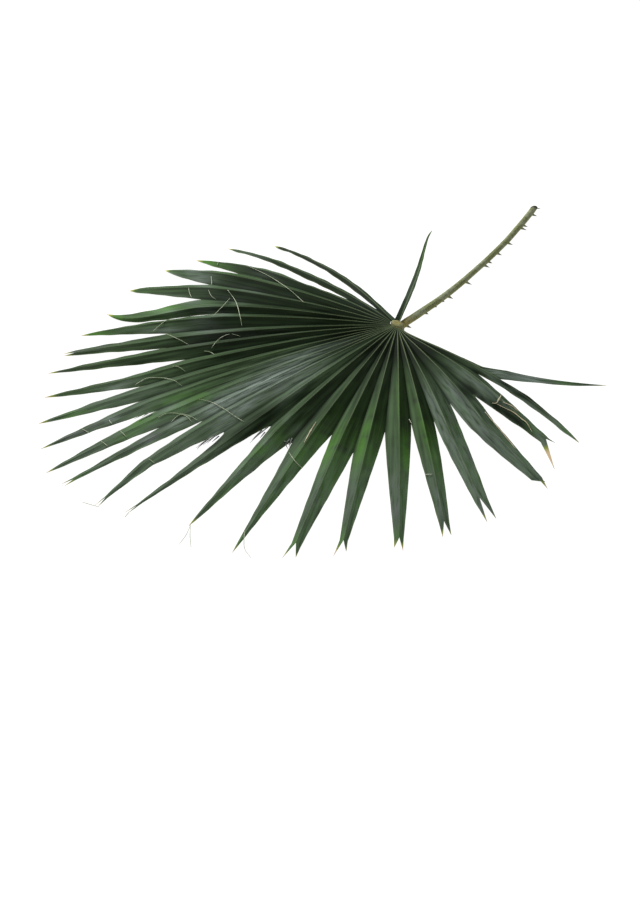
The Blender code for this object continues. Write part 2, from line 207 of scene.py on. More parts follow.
# Colour patches of the blade, in the photograph's pixels: the middle, the reach along the ray, the spread
# across it, and the strength
HEAD_PIXEL = np.array((397.5, 324.6))
# Grey bloom of the wax, with painted sheen and painted highlights where the light glances off the folds
BLOOM_AND_SHEEN_PATCHES = (
    (262, 383, 62, 8.5, 1.0), (320, 350, 55, 5.5, 0.75), (222, 404, 30, 8, 0.9), (300, 380, 40, 5, 0.45),
    (208, 324, 16, 10, 0.5), (203, 280, 14, 8, 0.6), (230, 300, 22, 4, 0.5), (267, 275, 18, 4, 0.55),
    (170, 312, 20, 4, 0.35), (293, 425, 7, 8, 0.75), (267, 443, 8, 7, 0.5), (170, 408, 22, 5, 0.45),
    (527, 377, 35, 3.5, 0.6), (453, 390, 22, 5, 0.55), (478, 385, 20, 4, 0.5), (432, 350, 25, 3.5, 0.4),
    (111, 420, 9, 4, 0.8), (118, 386, 20, 4, 0.5), (340, 268, 30, 3, 0.4), (300, 266, 25, 3, 0.35),
    (530, 377, 30, 12, 1.0), (480, 362, 25, 4, 0.6), (350, 338, 30, 3.5, 0.5), (150, 440, 12, 5, 0.5),
    (238, 410, 34, 6, 0.7), (222, 430, 18, 5, 0.6), (285, 400, 30, 6, 0.4), (178, 422, 14, 7, 0.6),
    (414, 285, 28, 6, 0.75), (510, 465, 25, 7, 0.5), (215, 312, 18, 5, 0.8), (505, 378, 22, 5, 0.9),
    (545, 381, 25, 5, 0.45), (480, 430, 25, 6, 0.4), (462, 372, 25, 4, 0.5), (240, 470, 25, 5, 0.4),
    (392, 500, 25, 4, 0.4), (440, 505, 20, 4, 0.4), (300, 300, 20, 3, 0.3), (190, 270, 14, 4, 0.6),
    (215, 331, 25, 4, 0.6), (180, 300, 22, 4, 0.5), (165, 275, 20, 4, 0.45), (252, 291, 25, 3.5, 0.5),
    (170, 330, 25, 3, 0.45), (118, 300, 25, 3, 0.5), (265, 262, 25, 4, 0.5), (368, 311, 24, 10, 0.8),
)
MAUVE_PATCHES = (
    (345, 500, 22, 6, 0.7), (395, 505, 26, 5, 0.8), (440, 500, 24, 6, 0.75), (487, 440, 25, 6, 0.5),
    (150, 480, 30, 6, 0.6), (190, 455, 30, 6, 0.5), (100, 455, 20, 6, 0.5), (350, 285, 25, 4, 0.7),
    (300, 500, 24, 6, 0.6), (245, 480, 24, 5, 0.5), (470, 380, 20, 4, 0.4), (280, 388, 20, 4, 0.5),
    (142, 440, 25, 6, 0.85), (252, 404, 25, 5, 0.5), (310, 262, 30, 5, 0.7), (75, 349, 45, 4, 0.7),
    (70, 404, 45, 4, 0.7), (75, 432, 45, 5, 0.8), (60, 372, 30, 3, 0.5), (240, 335, 50, 5, 0.6),
    (210, 342, 40, 4, 0.5), (465, 392, 10, 8, 0.7),
)
# Fresh green: young tissue at the tips, and painted light through the lower rays and on some shaded halves
FRESH_AND_PAINTED_LIGHT_PATCHES = (
    (140, 422, 20, 7, 0.8), (120, 292, 25, 5, 1.0), (160, 308, 20, 6, 0.9), (108, 318, 20, 5, 1.0),
    (90, 335, 20, 4, 0.9), (210, 262, 20, 6, 0.9), (75, 415, 20, 5, 0.7), (130, 435, 20, 5, 0.6),
    (80, 480, 20, 5, 0.6), (420, 262, 40, 9, 1.0), (550, 437, 16, 5, 1.0), (569, 432, 14, 5, 1.0),
    (560, 381, 26, 5, 1.0), (230, 490, 20, 6, 0.5), (362, 445, 30, 5, 0.95), (402, 410, 40, 4, 0.6),
    (427, 433, 30, 5, 0.7), (328, 452, 28, 6, 0.9), (462, 430, 25, 5, 0.8), (175, 400, 25, 6, 0.6),
    (282, 434, 25, 6, 0.6), (530, 427, 12, 5, 1.0), (150, 265, 20, 5, 0.7), (250, 244, 25, 5, 0.5),
    (190, 400, 40, 9, 0.5), (406, 455, 32, 4, 0.95), (262, 450, 28, 5, 0.8), (299, 458, 25, 5, 0.6),
    (292, 547, 14, 5, 1.0), (340, 541, 14, 4, 1.0), (396, 541, 12, 5, 1.0), (240, 541, 14, 4, 1.0),
    (439, 355, 30, 3, 0.6), (455, 350, 30, 3, 0.7), (405, 375, 25, 3, 0.5), (478, 455, 25, 5, 0.5),
)
# Painted shade: near-black patches where folds, curled undersides and the gaps between rays lie in shadow
SHADE_PATCHES = (
    (330, 318, 60, 22, 0.95), (280, 310, 50, 18, 0.7), (240, 340, 40, 14, 0.6), (375, 362, 35, 20, 0.6),
    (300, 396, 30, 4, 0.9), (260, 415, 30, 5, 0.8), (220, 440, 20, 5, 0.6), (465, 392, 18, 5, 0.9),
    (497, 408, 18, 6, 1.0), (518, 422, 18, 6, 1.0), (472, 390, 14, 4, 1.0), (482, 399, 10, 4, 1.0),
    (478, 373, 14, 3, 1.0), (491, 383, 10, 3, 1.0), (505, 391, 14, 4, 1.0), (540, 402, 25, 3, 0.6),
    (262, 424, 45, 6, 1.0), (297, 420, 28, 6, 0.9), (285, 250, 12, 5, 0.8), (353, 428, 35, 4.5, 0.85),
    (312, 418, 35, 5, 0.8), (338, 405, 30, 6, 0.6), (232, 445, 22, 3, 0.8), (433, 355, 14, 5, 0.7),
    (416, 352, 18, 8, 0.6), (225, 303, 12, 3, 0.6), (240, 322, 40, 5, 0.6), (290, 304, 50, 3.5, 0.7),
    (140, 337, 30, 3, 0.5), (200, 349, 40, 4, 0.6), (140, 362, 35, 4, 0.5), (243, 428, 30, 3.5, 0.9),
    (267, 414, 20, 4, 0.95), (507, 385, 14, 3, 1.0), (524, 396, 20, 4, 1.0), (541, 408, 14, 4, 0.6),
    (508, 415, 26, 5, 1.0),
)


def linear(code):
    """The linear red, green and blue of an sRGB hex colour."""
    parts = [int(code[k:k + 2], 16) / 255.0 for k in (1, 3, 5)]
    return tuple(part / 12.92 if part <= 0.04045 else ((part + 0.055) / 1.055) ** 2.4 for part in parts)


def smooth(value):
    """A soft step from 0 to 1: three squares less two cubes of the clipped value."""
    share = np.clip(value, 0.0, 1.0)
    return share * share * (3.0 - 2.0 * share)


# Mesh helpers

def grid_faces(rows, columns, wrap=False):
    """Quads between neighbours in a grid numbered row by row. Wrap joins the last column to the first."""
    index = np.arange(rows * columns).reshape(rows, columns)
    following = np.roll(index, -1, axis=1) if wrap else index[:, 1:]
    current = index if wrap else index[:, :-1]
    quads = np.stack([current[:-1], following[:-1], following[1:], current[1:]], axis=-1)
    return quads.reshape(-1, 4)


def join_grids(grids):
    """Several grids put after one another. Each is its points, quads and values by point."""
    starts = np.cumsum([0] + [len(points) for points, _, _ in grids[:-1]])
    points = np.concatenate([grid[0] for grid in grids])
    quads = np.concatenate([grid[1] + start for grid, start in zip(grids, starts)])
    values = {name: np.concatenate([grid[2][name] for grid in grids]) for name in grids[0][2]}
    return points, quads, values


def make_piece(name, points, quads, values, materials, closed=True):
    """A mesh object from a grid. Values give UV maps, with two columns, and colour attributes, with four."""
    mesh = bpy.data.meshes.new(name)
    corner = points[quads]
    if not closed and np.cross(corner[:, 2] - corner[:, 0], corner[:, 3] - corner[:, 1])[:, 2].sum() < 0.0:
        quads = quads[:, ::-1]
    mesh.from_pydata(points, [], quads)
    corners = quads.ravel()
    for key, value in values.items():
        at_corners = np.ascontiguousarray(value[corners], np.float32).ravel()
        if value.shape[1] == 2:
            mesh.uv_layers.new(name=key).data.foreach_set("uv", at_corners)
        else:
            mesh.attributes.new(key, "FLOAT_COLOR", "CORNER").data.foreach_set("color", at_corners)
    bm = bmesh.new()
    bm.from_mesh(mesh)
    bmesh.ops.remove_doubles(bm, verts=bm.verts, dist=WELD_DISTANCE)
    bmesh.ops.dissolve_degenerate(bm, edges=bm.edges, dist=WELD_DISTANCE / 4.0)
    if closed:
        bmesh.ops.recalc_face_normals(bm, faces=bm.faces)
    bm.to_mesh(mesh)
    bm.free()
    mesh.shade_smooth()
    for material in materials:
        mesh.materials.append(material)
    piece = bpy.data.objects.new(name, mesh)
    bpy.context.scene.collection.objects.link(piece)
    return piece


def length_along(path):
    """How far along a path each of its points lies: the sum of the straight steps up to it."""
    return np.concatenate([[0.0], np.cumsum(np.linalg.norm(np.diff(path, axis=0), axis=1))])


def points_at(place, path, along):
    """Points of a path at places along it, by straight lines between its own points."""
    return np.stack([np.interp(place, along, path[:, k]) for k in range(path.shape[1])], axis=-1)


def smooth_path(corners, steps):
    """A Catmull-Rom curve: each span between corners is a cubic that passes a corner in the direction from
    the corner before it to the one after it. It also gives how far along the curve each point lies."""
    held = np.concatenate([[2.0 * corners[0] - corners[1]], corners, [2.0 * corners[-1] - corners[-2]]])
    t = (np.arange(steps) / steps)[None, :, None]
    a, b, c, d = held[:-3, None], held[1:-2, None], held[2:-1, None], held[3:, None]
    fine = 0.5 * (2.0 * b + (c - a) * t + (2.0 * a - 5.0 * b + 4.0 * c - d) * t ** 2
                  + (3.0 * b - a - 3.0 * c + d) * t ** 3)
    fine = np.concatenate([fine.reshape(-1, corners.shape[1]), corners[-1:]])
    return fine, length_along(fine)


def level_sideways(way):
    """Level directions at a right angle to each direction."""
    sideways = np.cross(way, UPWARDS)
    return sideways / np.linalg.norm(sideways, axis=1, keepdims=True)


def full_turn(sides):
    """Even angles round a whole turn, without the last."""
    return np.linspace(0.0, 2.0 * math.pi, sides, endpoint=False)


def ring_map(turn, share):
    """The UV map of a grid of rings: the part of a whole turn, and the share of the length."""
    return np.stack(np.broadcast_arrays(turn / (2.0 * math.pi), share), axis=-1).reshape(-1, 2)


def mask_columns(*masks):
    """Three masks and a full fourth value as the columns of a colour attribute."""
    return np.stack(np.broadcast_arrays(*masks, 1.0), axis=-1).reshape(-1, 4)


def tube(path, width, height, sides):
    """An oval tube along a path: the circle's cosine times the width goes sideways, its sine times the height
    goes up. A last ring of no size closes each end. Its values are the turn and the length."""
    way = np.gradient(path, axis=0)
    way /= np.linalg.norm(way, axis=1, keepdims=True)
    sideways = level_sideways(way)
    upwards = np.cross(sideways, way)
    turn = full_turn(sides)
    spots = path[:, None] + sideways[:, None] * (np.cos(turn)[None, :] * width[:, None])[..., None]
    spots = spots + upwards[:, None] * (np.sin(turn)[None, :] * height[:, None])[..., None]
    ends = [np.repeat(path[k][None, None], sides, axis=1) for k in (0, -1)]
    spots = np.concatenate([ends[0], spots, ends[1]])
    along = length_along(path)
    along = np.concatenate([[0.0], along, along[-1:]]) / max(along[-1], TINY)
    values = {"run": ring_map(turn, along[:, None])}
    return spots.reshape(-1, 3), grid_faces(len(spots), sides, wrap=True), values


# Node helpers

def add(tree, kind, inputs=None, **settings):
    """A node with its settings, and its inputs set to values or linked to other nodes' outputs."""
    node = tree.nodes.new(kind)
    for name, value in settings.items():
        setattr(node, name, value)
    for name, value in (inputs or {}).items():
        socket = node.inputs[name]
        if isinstance(value, bpy.types.NodeSocket):
            tree.links.new(value, socket)
        elif socket.type == "RGBA":
            socket.default_value = (*value[:3], 1.0)
        else:
            socket.default_value = value
    return node


def drawn_patterns(tree, table):
    """Noise patterns by name. Each has its coordinates, its repeats in a metre along each, and its detail."""
    patterns = {}
    for name, (vector, repeats, detail) in table.items():
        drawn = add(tree, "ShaderNodeMapping", {"Vector": vector, "Scale": repeats})
        inputs = {"Vector": drawn.outputs["Vector"], "Scale": 1.0, "Detail": detail}
        patterns[name] = add(tree, "ShaderNodeTexNoise", inputs).outputs["Fac"]
    return patterns


def painted(tree, colour, layers):
    """A colour with layers over it. Each has a mask or None, a pattern or None with the two limits between
    which it fades in, the layer's strength and its colour."""
    for mask, pattern, low, high, strength, layer in layers:
        amount = strength
        if pattern is not None:
            limits = {"Value": pattern, "From Min": low, "From Max": high, "To Max": strength}
            faded = add(tree, "ShaderNodeMapRange", limits, interpolation_type="SMOOTHSTEP")
            amount = faded.outputs["Result"]
        if mask is not None:
            masked = add(tree, "ShaderNodeMath", {0: mask, 1: amount}, operation="MULTIPLY", use_clamp=True)
            amount = masked.outputs[0]
        colour = add(tree, "ShaderNodeMix", {0: amount, 6: colour, 7: layer}, data_type="RGBA").outputs[2]
    return colour


def mask_channels(tree, names):
    """Masks by name: the three that each colour attribute holds as its red, green and blue."""
    masks = {}
    for attribute, channels in names.items():
        colour = add(tree, "ShaderNodeAttribute", attribute_name=attribute).outputs["Color"]
        masks.update(zip(channels, add(tree, "ShaderNodeSeparateColor", {"Color": colour}).outputs))
    return masks


def new_material(name):
    """A material with an empty Principled shader, and its node tree."""
    material = bpy.data.materials.new(name)
    material.use_nodes = True
    tree = material.node_tree
    tree.nodes.clear()
    shader = add(tree, "ShaderNodeBsdfPrincipled")
    add(tree, "ShaderNodeOutputMaterial", {"Surface": shader.outputs["BSDF"]})
    return material, tree, shader


def finish_shader(tree, shader, colour, grain, roughness, spread, relief):
    """Link the colour, a least roughness and the spread that a grain adds, and a bump of the same grain.
    Relief is its strength and its height."""
    varied = {0: grain, 1: spread, 2: roughness}
    rough = add(tree, "ShaderNodeMath", varied, operation="MULTIPLY_ADD").outputs[0]
    bump = add(tree, "ShaderNodeBump", {"Height": grain, "Strength": relief[0], "Distance": relief[1]})
    tree.links.new(colour, shader.inputs["Base Color"])
    tree.links.new(rough, shader.inputs["Roughness"])
    tree.links.new(bump.outputs["Normal"], shader.inputs["Normal"])


# The photograph's camera

def view_axes():
    """The camera's right, up and forward directions."""
    level = math.cos(CAMERA_ELEVATION)
    back = np.array((math.sin(CAMERA_AZIMUTH) * level, -math.cos(CAMERA_AZIMUTH) * level,
                     math.sin(CAMERA_ELEVATION)))
    right = np.array((math.cos(CAMERA_AZIMUTH), math.sin(CAMERA_AZIMUTH), 0.0))
    return right, np.cross(back, right), -back


def sight_lines(pixels):
    """The direction in which the camera sees each pixel."""
    right, up, forward = view_axes()
    across = (pixels[:, :1] - PHOTO_WIDTH / 2.0) * right
    rise = (PHOTO_HEIGHT / 2.0 - pixels[:, 1:]) * up
    lines = forward * FOCAL_PIXELS + across + rise
    return lines / np.linalg.norm(lines, axis=1, keepdims=True)


def pixels_of(spots):
    """The photograph's pixel in which its camera sees each point."""
    right, up, forward = view_axes()
    sight = spots - CAMERA_PLACE
    depth = sight @ forward
    return np.stack([PHOTO_WIDTH / 2.0 + FOCAL_PIXELS * (sight @ right) / depth,
                     PHOTO_HEIGHT / 2.0 - FOCAL_PIXELS * (sight @ up) / depth], axis=-1)


# Blade formulas, as in the solids

def blade_place(azimuth, radius, height):
    """Points of the sheet: an azimuth that leans by a power of its place among the right rays and less
    outwards, and a radius that follows the head's oval near the head."""
    share = np.clip((azimuth - LEAN_FROM) / LEAN_SPAN, 0.0, 1.0)
    angle = np.radians(azimuth - LEAN * share ** LEAN_CURVE * np.exp(-radius / LEAN_FADE))
    across = np.sin(angle) / (HEAD_HALF_WIDTH + PIECE_GAP)
    along = np.cos(angle) / (HEAD_HALF_DEPTH + PIECE_GAP)
    reach = radius + (1.0 / np.hypot(across, along) - INNER_EDGE) * np.exp(-(radius - INNER_EDGE) / OVAL_FADE)
    return np.stack([reach * np.sin(angle), -reach * np.cos(angle), height + 0.0 * angle], axis=-1)


def length_share(ray, radius):
    """How far out a radius is, from 0 at the inner edge to 1 at the ray's tip."""
    return np.clip((radius - INNER_EDGE) / (ray.length * MM - INNER_EDGE), 0.0, 1.0)


def valley_height(ray, radius):
    """A straight fall from the head to the tip, and an arch over it."""
    share = length_share(ray, radius)
    return INNER_EDGE_HEIGHT * (1.0 - share) + TIP_HEIGHT * share + 4.0 * ARCH * share * (1.0 - share)


def fold_slope(ray, radius):
    """The slope from margin to midrib: it grows near the head by a soft step, is less by a bell round the
    middle of the fan, and falls straight towards the tip."""
    growth = smooth((radius - INNER_EDGE) / FOLD_GROWTH)
    flat = 1.0 - FLAT_LOSS * math.exp(-((ray.azimuth - FLAT_AZIMUTH) / FLAT_SPREAD) ** 2)
    return FOLD_SLOPE * flat * growth * (1.0 - FOLD_LOSS_AT_TIP * length_share(ray, radius))


def midrib_azimuth(ray, radius):
    """The azimuth of the midrib: even up to the bend, then a straight change to the tip's azimuth, and a bow
    of the share's cube times what is left."""
    start = ray.bend * MM
    share = np.clip((radius - start) / (ray.length * MM - start), 0.0, 1.0)
    bow = ray.bow * share ** 3 * (1.0 - share) / BOW_PEAK
    return ray.azimuth + (ray.tip_azimuth - ray.azimuth) * share + bow


def side_limits(index, side):
    """The azimuth and radius where a ray's side comes free."""
    gap = index if side > 0 else index - 1
    if gap < 0 or gap == len(RAYS) - 1:
        return RAYS[index].azimuth + side * math.degrees(ROOT_HALF_WIDTH / INNER_EDGE), INNER_EDGE
    return RAYS[gap].valley, RAYS[gap].split * MM


def body_end(ray):
    """Where the midrib ends: at the tip, or where the fork starts."""
    return (ray.length - ray.fork) * MM


def closing_start(ray):
    """The last row of the solids before the tip, from which an unforked ray narrows to its point."""
    return SOLID_ROWS[SOLID_ROWS < body_end(ray) - LAST_ROW_CLEARANCE][-1]


def half_width(index, side, radius):
    """Width from midrib to margin: up to the valley while joined, then the free end's swell and taper, and
    for an unforked ray a nearly straight narrowing to the point."""
    ray = RAYS[index]
    valley, split = side_limits(index, side)
    joined = radius * np.radians(np.abs(valley - midrib_azimuth(ray, radius)))
    at_split = split * math.radians(abs(valley - float(midrib_azimuth(ray, split))))
    start = ray.length * MM if ray.fork else closing_start(ray)
    outer = np.minimum(radius, start)
    share = np.clip((outer - split) / (ray.length * MM - split), 0.0, 1.0)
    grown = (outer - max(split, ray.swell_from * MM)) / (ray.length * MM - split)
    swollen = at_split + max(0.0, ray.swell * MM - at_split) * smooth(grown / SWELL_SHARE)
    free = swollen * (1.0 - (1.0 - ray.end) * share ** ray.taper)
    if not ray.fork:
        left = np.clip((ray.length * MM - radius) / (ray.length * MM - start), 0.0, 1.0)
        free = free * left ** CLOSING_CURVE
    return np.where(radius <= split, joined, free)


def row_radii():
    """The radii of the grid's rows: close ones near the head, then even steps."""
    far = np.arange(FAR_ROW_START, max(ray.length for ray in RAYS) * MM, FAR_ROW_STEP)
    return np.concatenate([NEAR_ROWS, far])


def ray_rows(ray):
    """The common rows up to the end of the midrib, with that end as the last."""
    rows = row_radii()
    return np.append(rows[rows < body_end(ray) - FAR_ROW_STEP / 3.0], body_end(ray))


def ridge_line(index, radius):
    """Points of the midrib: over the valleys by the fold's slope times the mean width of both halves."""
    ray = RAYS[index]
    width = (half_width(index, -1, radius) + half_width(index, 1, radius)) / 2.0
    height = valley_height(ray, radius) + fold_slope(ray, radius) * width
    return blade_place(midrib_azimuth(ray, radius), radius, height)


def margin_line(index, side, radius):
    """The free margin, or the shared valley up to the row that is nearest to the split."""
    ray = RAYS[index]
    spread = side * np.degrees(half_width(index, side, radius) / radius)
    line = blade_place(midrib_azimuth(ray, radius) + spread, radius, valley_height(ray, radius))
    gap = index if side > 0 else index - 1
    if gap < 0 or gap == len(RAYS) - 1:
        return line, np.zeros(len(radius), bool)
    rows = row_radii()
    split = RAYS[gap].split * MM
    last = int(np.argmin(np.abs(rows - split)))
    joined = np.arange(len(radius)) <= last
    place = np.where(np.arange(len(radius)) == last, split, radius)
    height = (valley_height(RAYS[gap], place) + valley_height(RAYS[gap + 1], place)) / 2.0
    valley = blade_place(RAYS[gap].valley, place, height)
    return np.where(joined[:, None], valley, line), joined


def sway(scatter, radius, wavelengths, height):
    """Slow waves along a ray: the mean of sines with drawn phases."""
    waves = [np.sin(2.0 * math.pi * (radius / length + scatter.random())) for length in wavelengths]
    return sum(waves) / len(waves) * height


def patches_at(pixels, patches):
    """The strongest of the patches at each pixel, each an oval hill whose long side points at the head."""
    total = np.zeros(pixels.shape[:-1])
    for x, y, reach, spread, strength in patches:
        outwards = np.array((x, y)) - HEAD_PIXEL
        outwards = outwards / np.linalg.norm(outwards)
        off = pixels - (x, y)
        hill = (off @ outwards / reach) ** 2 + (off @ np.array((-outwards[1], outwards[0])) / spread) ** 2
        total = np.maximum(total, strength * np.exp(-hill))
    return total


def fork_point(index, side):
    """Where one point of a forked tip lies."""
    ray = RAYS[index]
    if index in FORK_POINTS:
        reach, azimuth = FORK_POINTS[index][side > 0]
    else:
        reach = ray.length * MM
        azimuth = ray.tip_azimuth + math.degrees(side * ray.prong * MM / reach)
    return blade_place(azimuth, reach, TIP_HEIGHT), reach


def half_lines(index, side):
    """The midrib and the margin of half a ray, row by row, with the rows of its prong where it has one. Also
    each row's radius and width, and whether it is joined to the next ray."""
    ray = RAYS[index]
    radius = ray_rows(ray)
    ridge = ridge_line(index, radius)
    margin, joined = margin_line(index, side, radius)
    width = np.linalg.norm(margin - ridge, axis=1)
    if ray.fork:
        tip, reach = fork_point(index, side)
        share = (np.arange(1, PRONG_ROWS + 1) / PRONG_ROWS)[:, None]
        ridge = np.concatenate([ridge, ridge[-1] + (tip - ridge[-1]) * share])
        margin = np.concatenate([margin, margin[-1] + (tip - margin[-1]) * share ** PRONG_CURVE])
        radius = np.concatenate([radius, body_end(ray) + (reach - body_end(ray)) * share[:, 0]])
        joined = np.concatenate([joined, np.zeros(PRONG_ROWS, bool)])
        width = np.concatenate([width, width[-1] * (1.0 - share[:, 0])])
    return ridge, margin, radius, width, joined


def half_ray(index, side, settings, scatter):
    """One half of a ray as a grid from midrib to margin: a straight line between both, raised by the relief.
    Also the values that the material reads."""
    ridge, margin, radius, width, joined = half_lines(index, side)
    rib = np.minimum(settings.rib_width / np.maximum(width, TINY), RIB_SHARE_LIMIT)[:, None]
    steps = np.linspace(0.0, 1.0, LAMINA_COLUMNS)
    steps = np.append(steps[:-1] * LAST_COLUMN_SHARE / steps[-2], 1.0)
    share = np.concatenate([0.0 * rib, 0.5 * rib, rib + (1.0 - rib) * steps[None, :]], axis=1)
    spots = ridge[:, None] * (1.0 - share[..., None]) + margin[:, None] * share[..., None]
    off = share * width[:, None]
    spots[..., 2] += half_relief(index, side, settings, scatter, radius, joined, share, off, spots[:, -1, 2])
    return spots, ray_values(index, side, spots, share, off, radius, joined, scatter)


def half_relief(index, side, settings, scatter, radius, joined, share, off, margin_height):
    """The rise over the plain fold: a bell of the distance from the midrib, buckles that arch from midrib to
    margin, and on a free margin a flutter that grows with the cube of the share."""
    ray = RAYS[index]
    ends = np.clip((ray.length * MM - radius) / TIP_FADE, 0.0, 1.0)
    height = settings.rib_height * (1.0 - RIB_LOSS_AT_TIP * length_share(ray, radius))
    height = height * smooth((radius - INNER_EDGE) / RIB_GROWTH) * ends
    height = height * np.clip((body_end(ray) - radius) / RIB_END, 0.0, 1.0)
    lift = height[:, None] * np.exp(-(off / (RIB_ROUNDNESS * settings.rib_width)) ** 2)
    buckle = sway(scatter, radius, BUCKLE_WAVES, settings.buckle) * smooth(radius / BUCKLE_GROWTH) * ends
    lift = lift + buckle[:, None] * np.sin(math.pi * share)
    flutter = sway(scatter, radius, FLUTTER_WAVES, settings.buckle) * ends
    flutter = flutter * smooth((radius - side_limits(index, side)[1]) / FLUTTER_GROWTH)
    flutter = flutter * np.clip(margin_height / FLUTTER_CLEARANCE, 0.0, 1.0)
    return lift + np.where(joined, 0.0, flutter)[:, None] * share ** 3


def by_azimuth(ray, ranges):
    """The strength of the range of azimuths that holds a ray, or none outside them all."""
    return next((strength for low, high, strength in ranges if low < ray.azimuth < high), 0.0)


def half_looks(ray, side, along, pixels):
    """The masks for bloom with painted sheen, mauve, fresh green with painted light, and painted shade: the
    patches at each pixel, and over them what each range of azimuths gives to whole halves, with painted shade
    at the roots and on right halves turned from the light, painted light through the right halves of the lower
    rays, a thin bloom and sheen outwards, and painted light on the right-hand rays."""
    tables = (BLOOM_AND_SHEEN_PATCHES, MAUVE_PATCHES, FRESH_AND_PAINTED_LIGHT_PATCHES, SHADE_PATCHES)
    bloom_and_sheen, mauve, fresh_and_painted_light, painted_shade = [patches_at(pixels, patches) for patches in tables]
    bloom_and_sheen = bloom_and_sheen * (1.0 - painted_shade)
    green = by_azimuth(ray, LIT_THROUGH_RIGHT_HALVES)
    # Painted light through the leaf on the right halves of the lower rays, with less bloom and mauve there
    if side > 0 and green:
        share = along / (ray.length * MM)
        outer = 1.0 - smooth((share - LIT_THROUGH_END_SHARE) / (1.0 - LIT_THROUGH_END_SHARE))
        fresh_and_painted_light = np.maximum(fresh_and_painted_light, green * outer * smooth((along - LIT_THROUGH_START) / LOOK_SPAN))
        bloom_and_sheen = bloom_and_sheen * BLOOM_AND_SHEEN_ON_LIT_THROUGH
        mauve = mauve * MAUVE_ON_LIT_THROUGH
    # Painted shade on right halves turned from the light, then at the roots near the head
    if side > 0:
        shade = by_azimuth(ray, SHADED_RIGHT_HALVES)
        painted_shade = np.maximum(painted_shade, shade * (1.0 - smooth((along - SHADED_HALF_END) / LOOK_SPAN)))
    root = by_azimuth(ray, SHADED_ROOTS)
    painted_shade = np.maximum(painted_shade, root * (1.0 - smooth((along - SHADED_ROOT_END) / LOOK_SPAN)))
    # A thin bloom with painted sheen outwards
    outer = by_azimuth(ray, OUTER_BLOOM_AND_SHEEN) * smooth((along - OUTER_BLOOM_AND_SHEEN_START) / OUTER_BLOOM_AND_SHEEN_SPAN)
    # Painted light on the right-hand rays, turned from the light
    whole = by_azimuth(ray, SIDE_PAINTED_LIGHT) * smooth((along - SIDE_PAINTED_LIGHT_START) / LOOK_SPAN)
    return np.maximum(np.maximum(bloom_and_sheen, outer), whole), mauve, fresh_and_painted_light, painted_shade


def ray_values(index, side, spots, share, off, radius, joined, scatter):
    """The UV map, metres across and along, and the masks: looks for bloom with painted sheen, mauve, and fresh
    green with painted light, lines for the midrib, free margin and dry tip, and shades for the painted shade
    patches, the half ray's tone and the painted shade of the valley. A line is a bell of the distance from it."""
    ray = RAYS[index]
    along = np.broadcast_to(radius[:, None], share.shape)
    bloom_and_sheen, mauve, fresh_and_painted_light, painted_shade = half_looks(ray, side, along, pixels_of(spots))
    tone = scatter.random()
    near = smooth((along - RIB_LINE_START) / RIB_LINE_SPAN)
    fade = np.clip(1.0 - along / RIB_LINE_FADE, 0.0, 1.0)
    rib = np.exp(-(off / (RIB_LINE + RIB_LINE_GAIN * near)) ** 2) * (RIB_LINE_LEAST + RIB_LINE_MORE * fade)
    rib = rib * (RIB_LINE_AT_HEAD + (1.0 - RIB_LINE_AT_HEAD) * near)
    side_off = (1.0 - share) * off.max(axis=1, keepdims=True)
    free = np.where(joined, 0.0, 1.0)[:, None]
    edge = np.exp(-(side_off / MARGIN_LINE) ** 2) * free
    edge = edge * smooth((along - MARGIN_LINE_START) / MARGIN_LINE_START)
    # Painted shade along the joined valleys, where the crease lies in shadow
    valley = np.exp(-(side_off / VALLEY_SHADE_LINE) ** 2) * (1.0 - free)
    dry_length = 2.0 * DRY_TIP * (1.0 + scatter.random())
    dry = smooth((along - (ray.length * MM - dry_length)) / dry_length)
    return {"veins": np.stack([side * off, along], axis=-1).reshape(-1, 2),
            "looks": mask_columns(bloom_and_sheen, mauve, fresh_and_painted_light), "lines": mask_columns(rib, edge, dry),
            "shades": mask_columns(painted_shade, tone, valley)}


# Stalk formulas, as in the solids

STALK_AXIS = np.array(((0, 0, 6.5), (-7.6, 20, 6.2), (-15.6, 50, 5.6), (-38, 127, 5.2), (-72, 217, 5.2),
                       (-108, 300, 5.2), (-152, 384, 4.2), (-166, 408, 3.7))) * MM
STALK_WIDTHS = (13.2 * MM, 9.6 * MM, 10.2 * MM)
STALK_HEIGHTS = (8.5 * MM, 7.2 * MM, 7.6 * MM)
AXIS_STEPS = 12
AXIS_REACH = 4.0 * MM
STALK_TOP_SHARE = 0.56
CUT_SLANT = 0.55
NEAR_THORNS = ((18, 13.0), (65, 9.5), (89, 7.5), (108, 7.5), (124, 12.0), (175, 13.5), (234, 12.0),
               (247, 10.0), (277, 11.0), (315, 12.0), (370, 13.0), (380, 11.0), (421, 11.5))
FAR_THORN_START = 44.0
FAR_THORN_STEP = 46.0
FAR_THORN_COUNT = 8
FAR_THORN_SCATTER = 8.0
FAR_THORN_REACH = 8.0
THORN_ROOT_DEPTH = 1.5 * MM
THORN_DROOP = 0.25
SOLID_SEED = 7

# Fine grid and relief of the stalk: shares are of its length, and angles are radians from its right edge
STALK_SECTIONS = 180
STALK_SIDES = 48
GROOVES = 16
GROOVE_GROWTH = 1.0 / 12.0
WOBBLE = 0.12 * MM
WOBBLE_RATE = 37.0
CUT_SLANT_SHARE = 0.97
CUT_RINGS = np.array((0.86, 0.5, 0.0))
CUT_DEPTHS = np.array((0.4, 0.9, 0.8)) * MM
EDGE_STRIPES = ((2.6, 0.35, 0.9), (0.15, 0.25, 0.6))
EDGE_START = 0.02
EDGE_GROWTH = 0.05
CUT_MARK_START = 0.975
CUT_MARK_SPAN = 0.02
YELLOW_END = 0.09

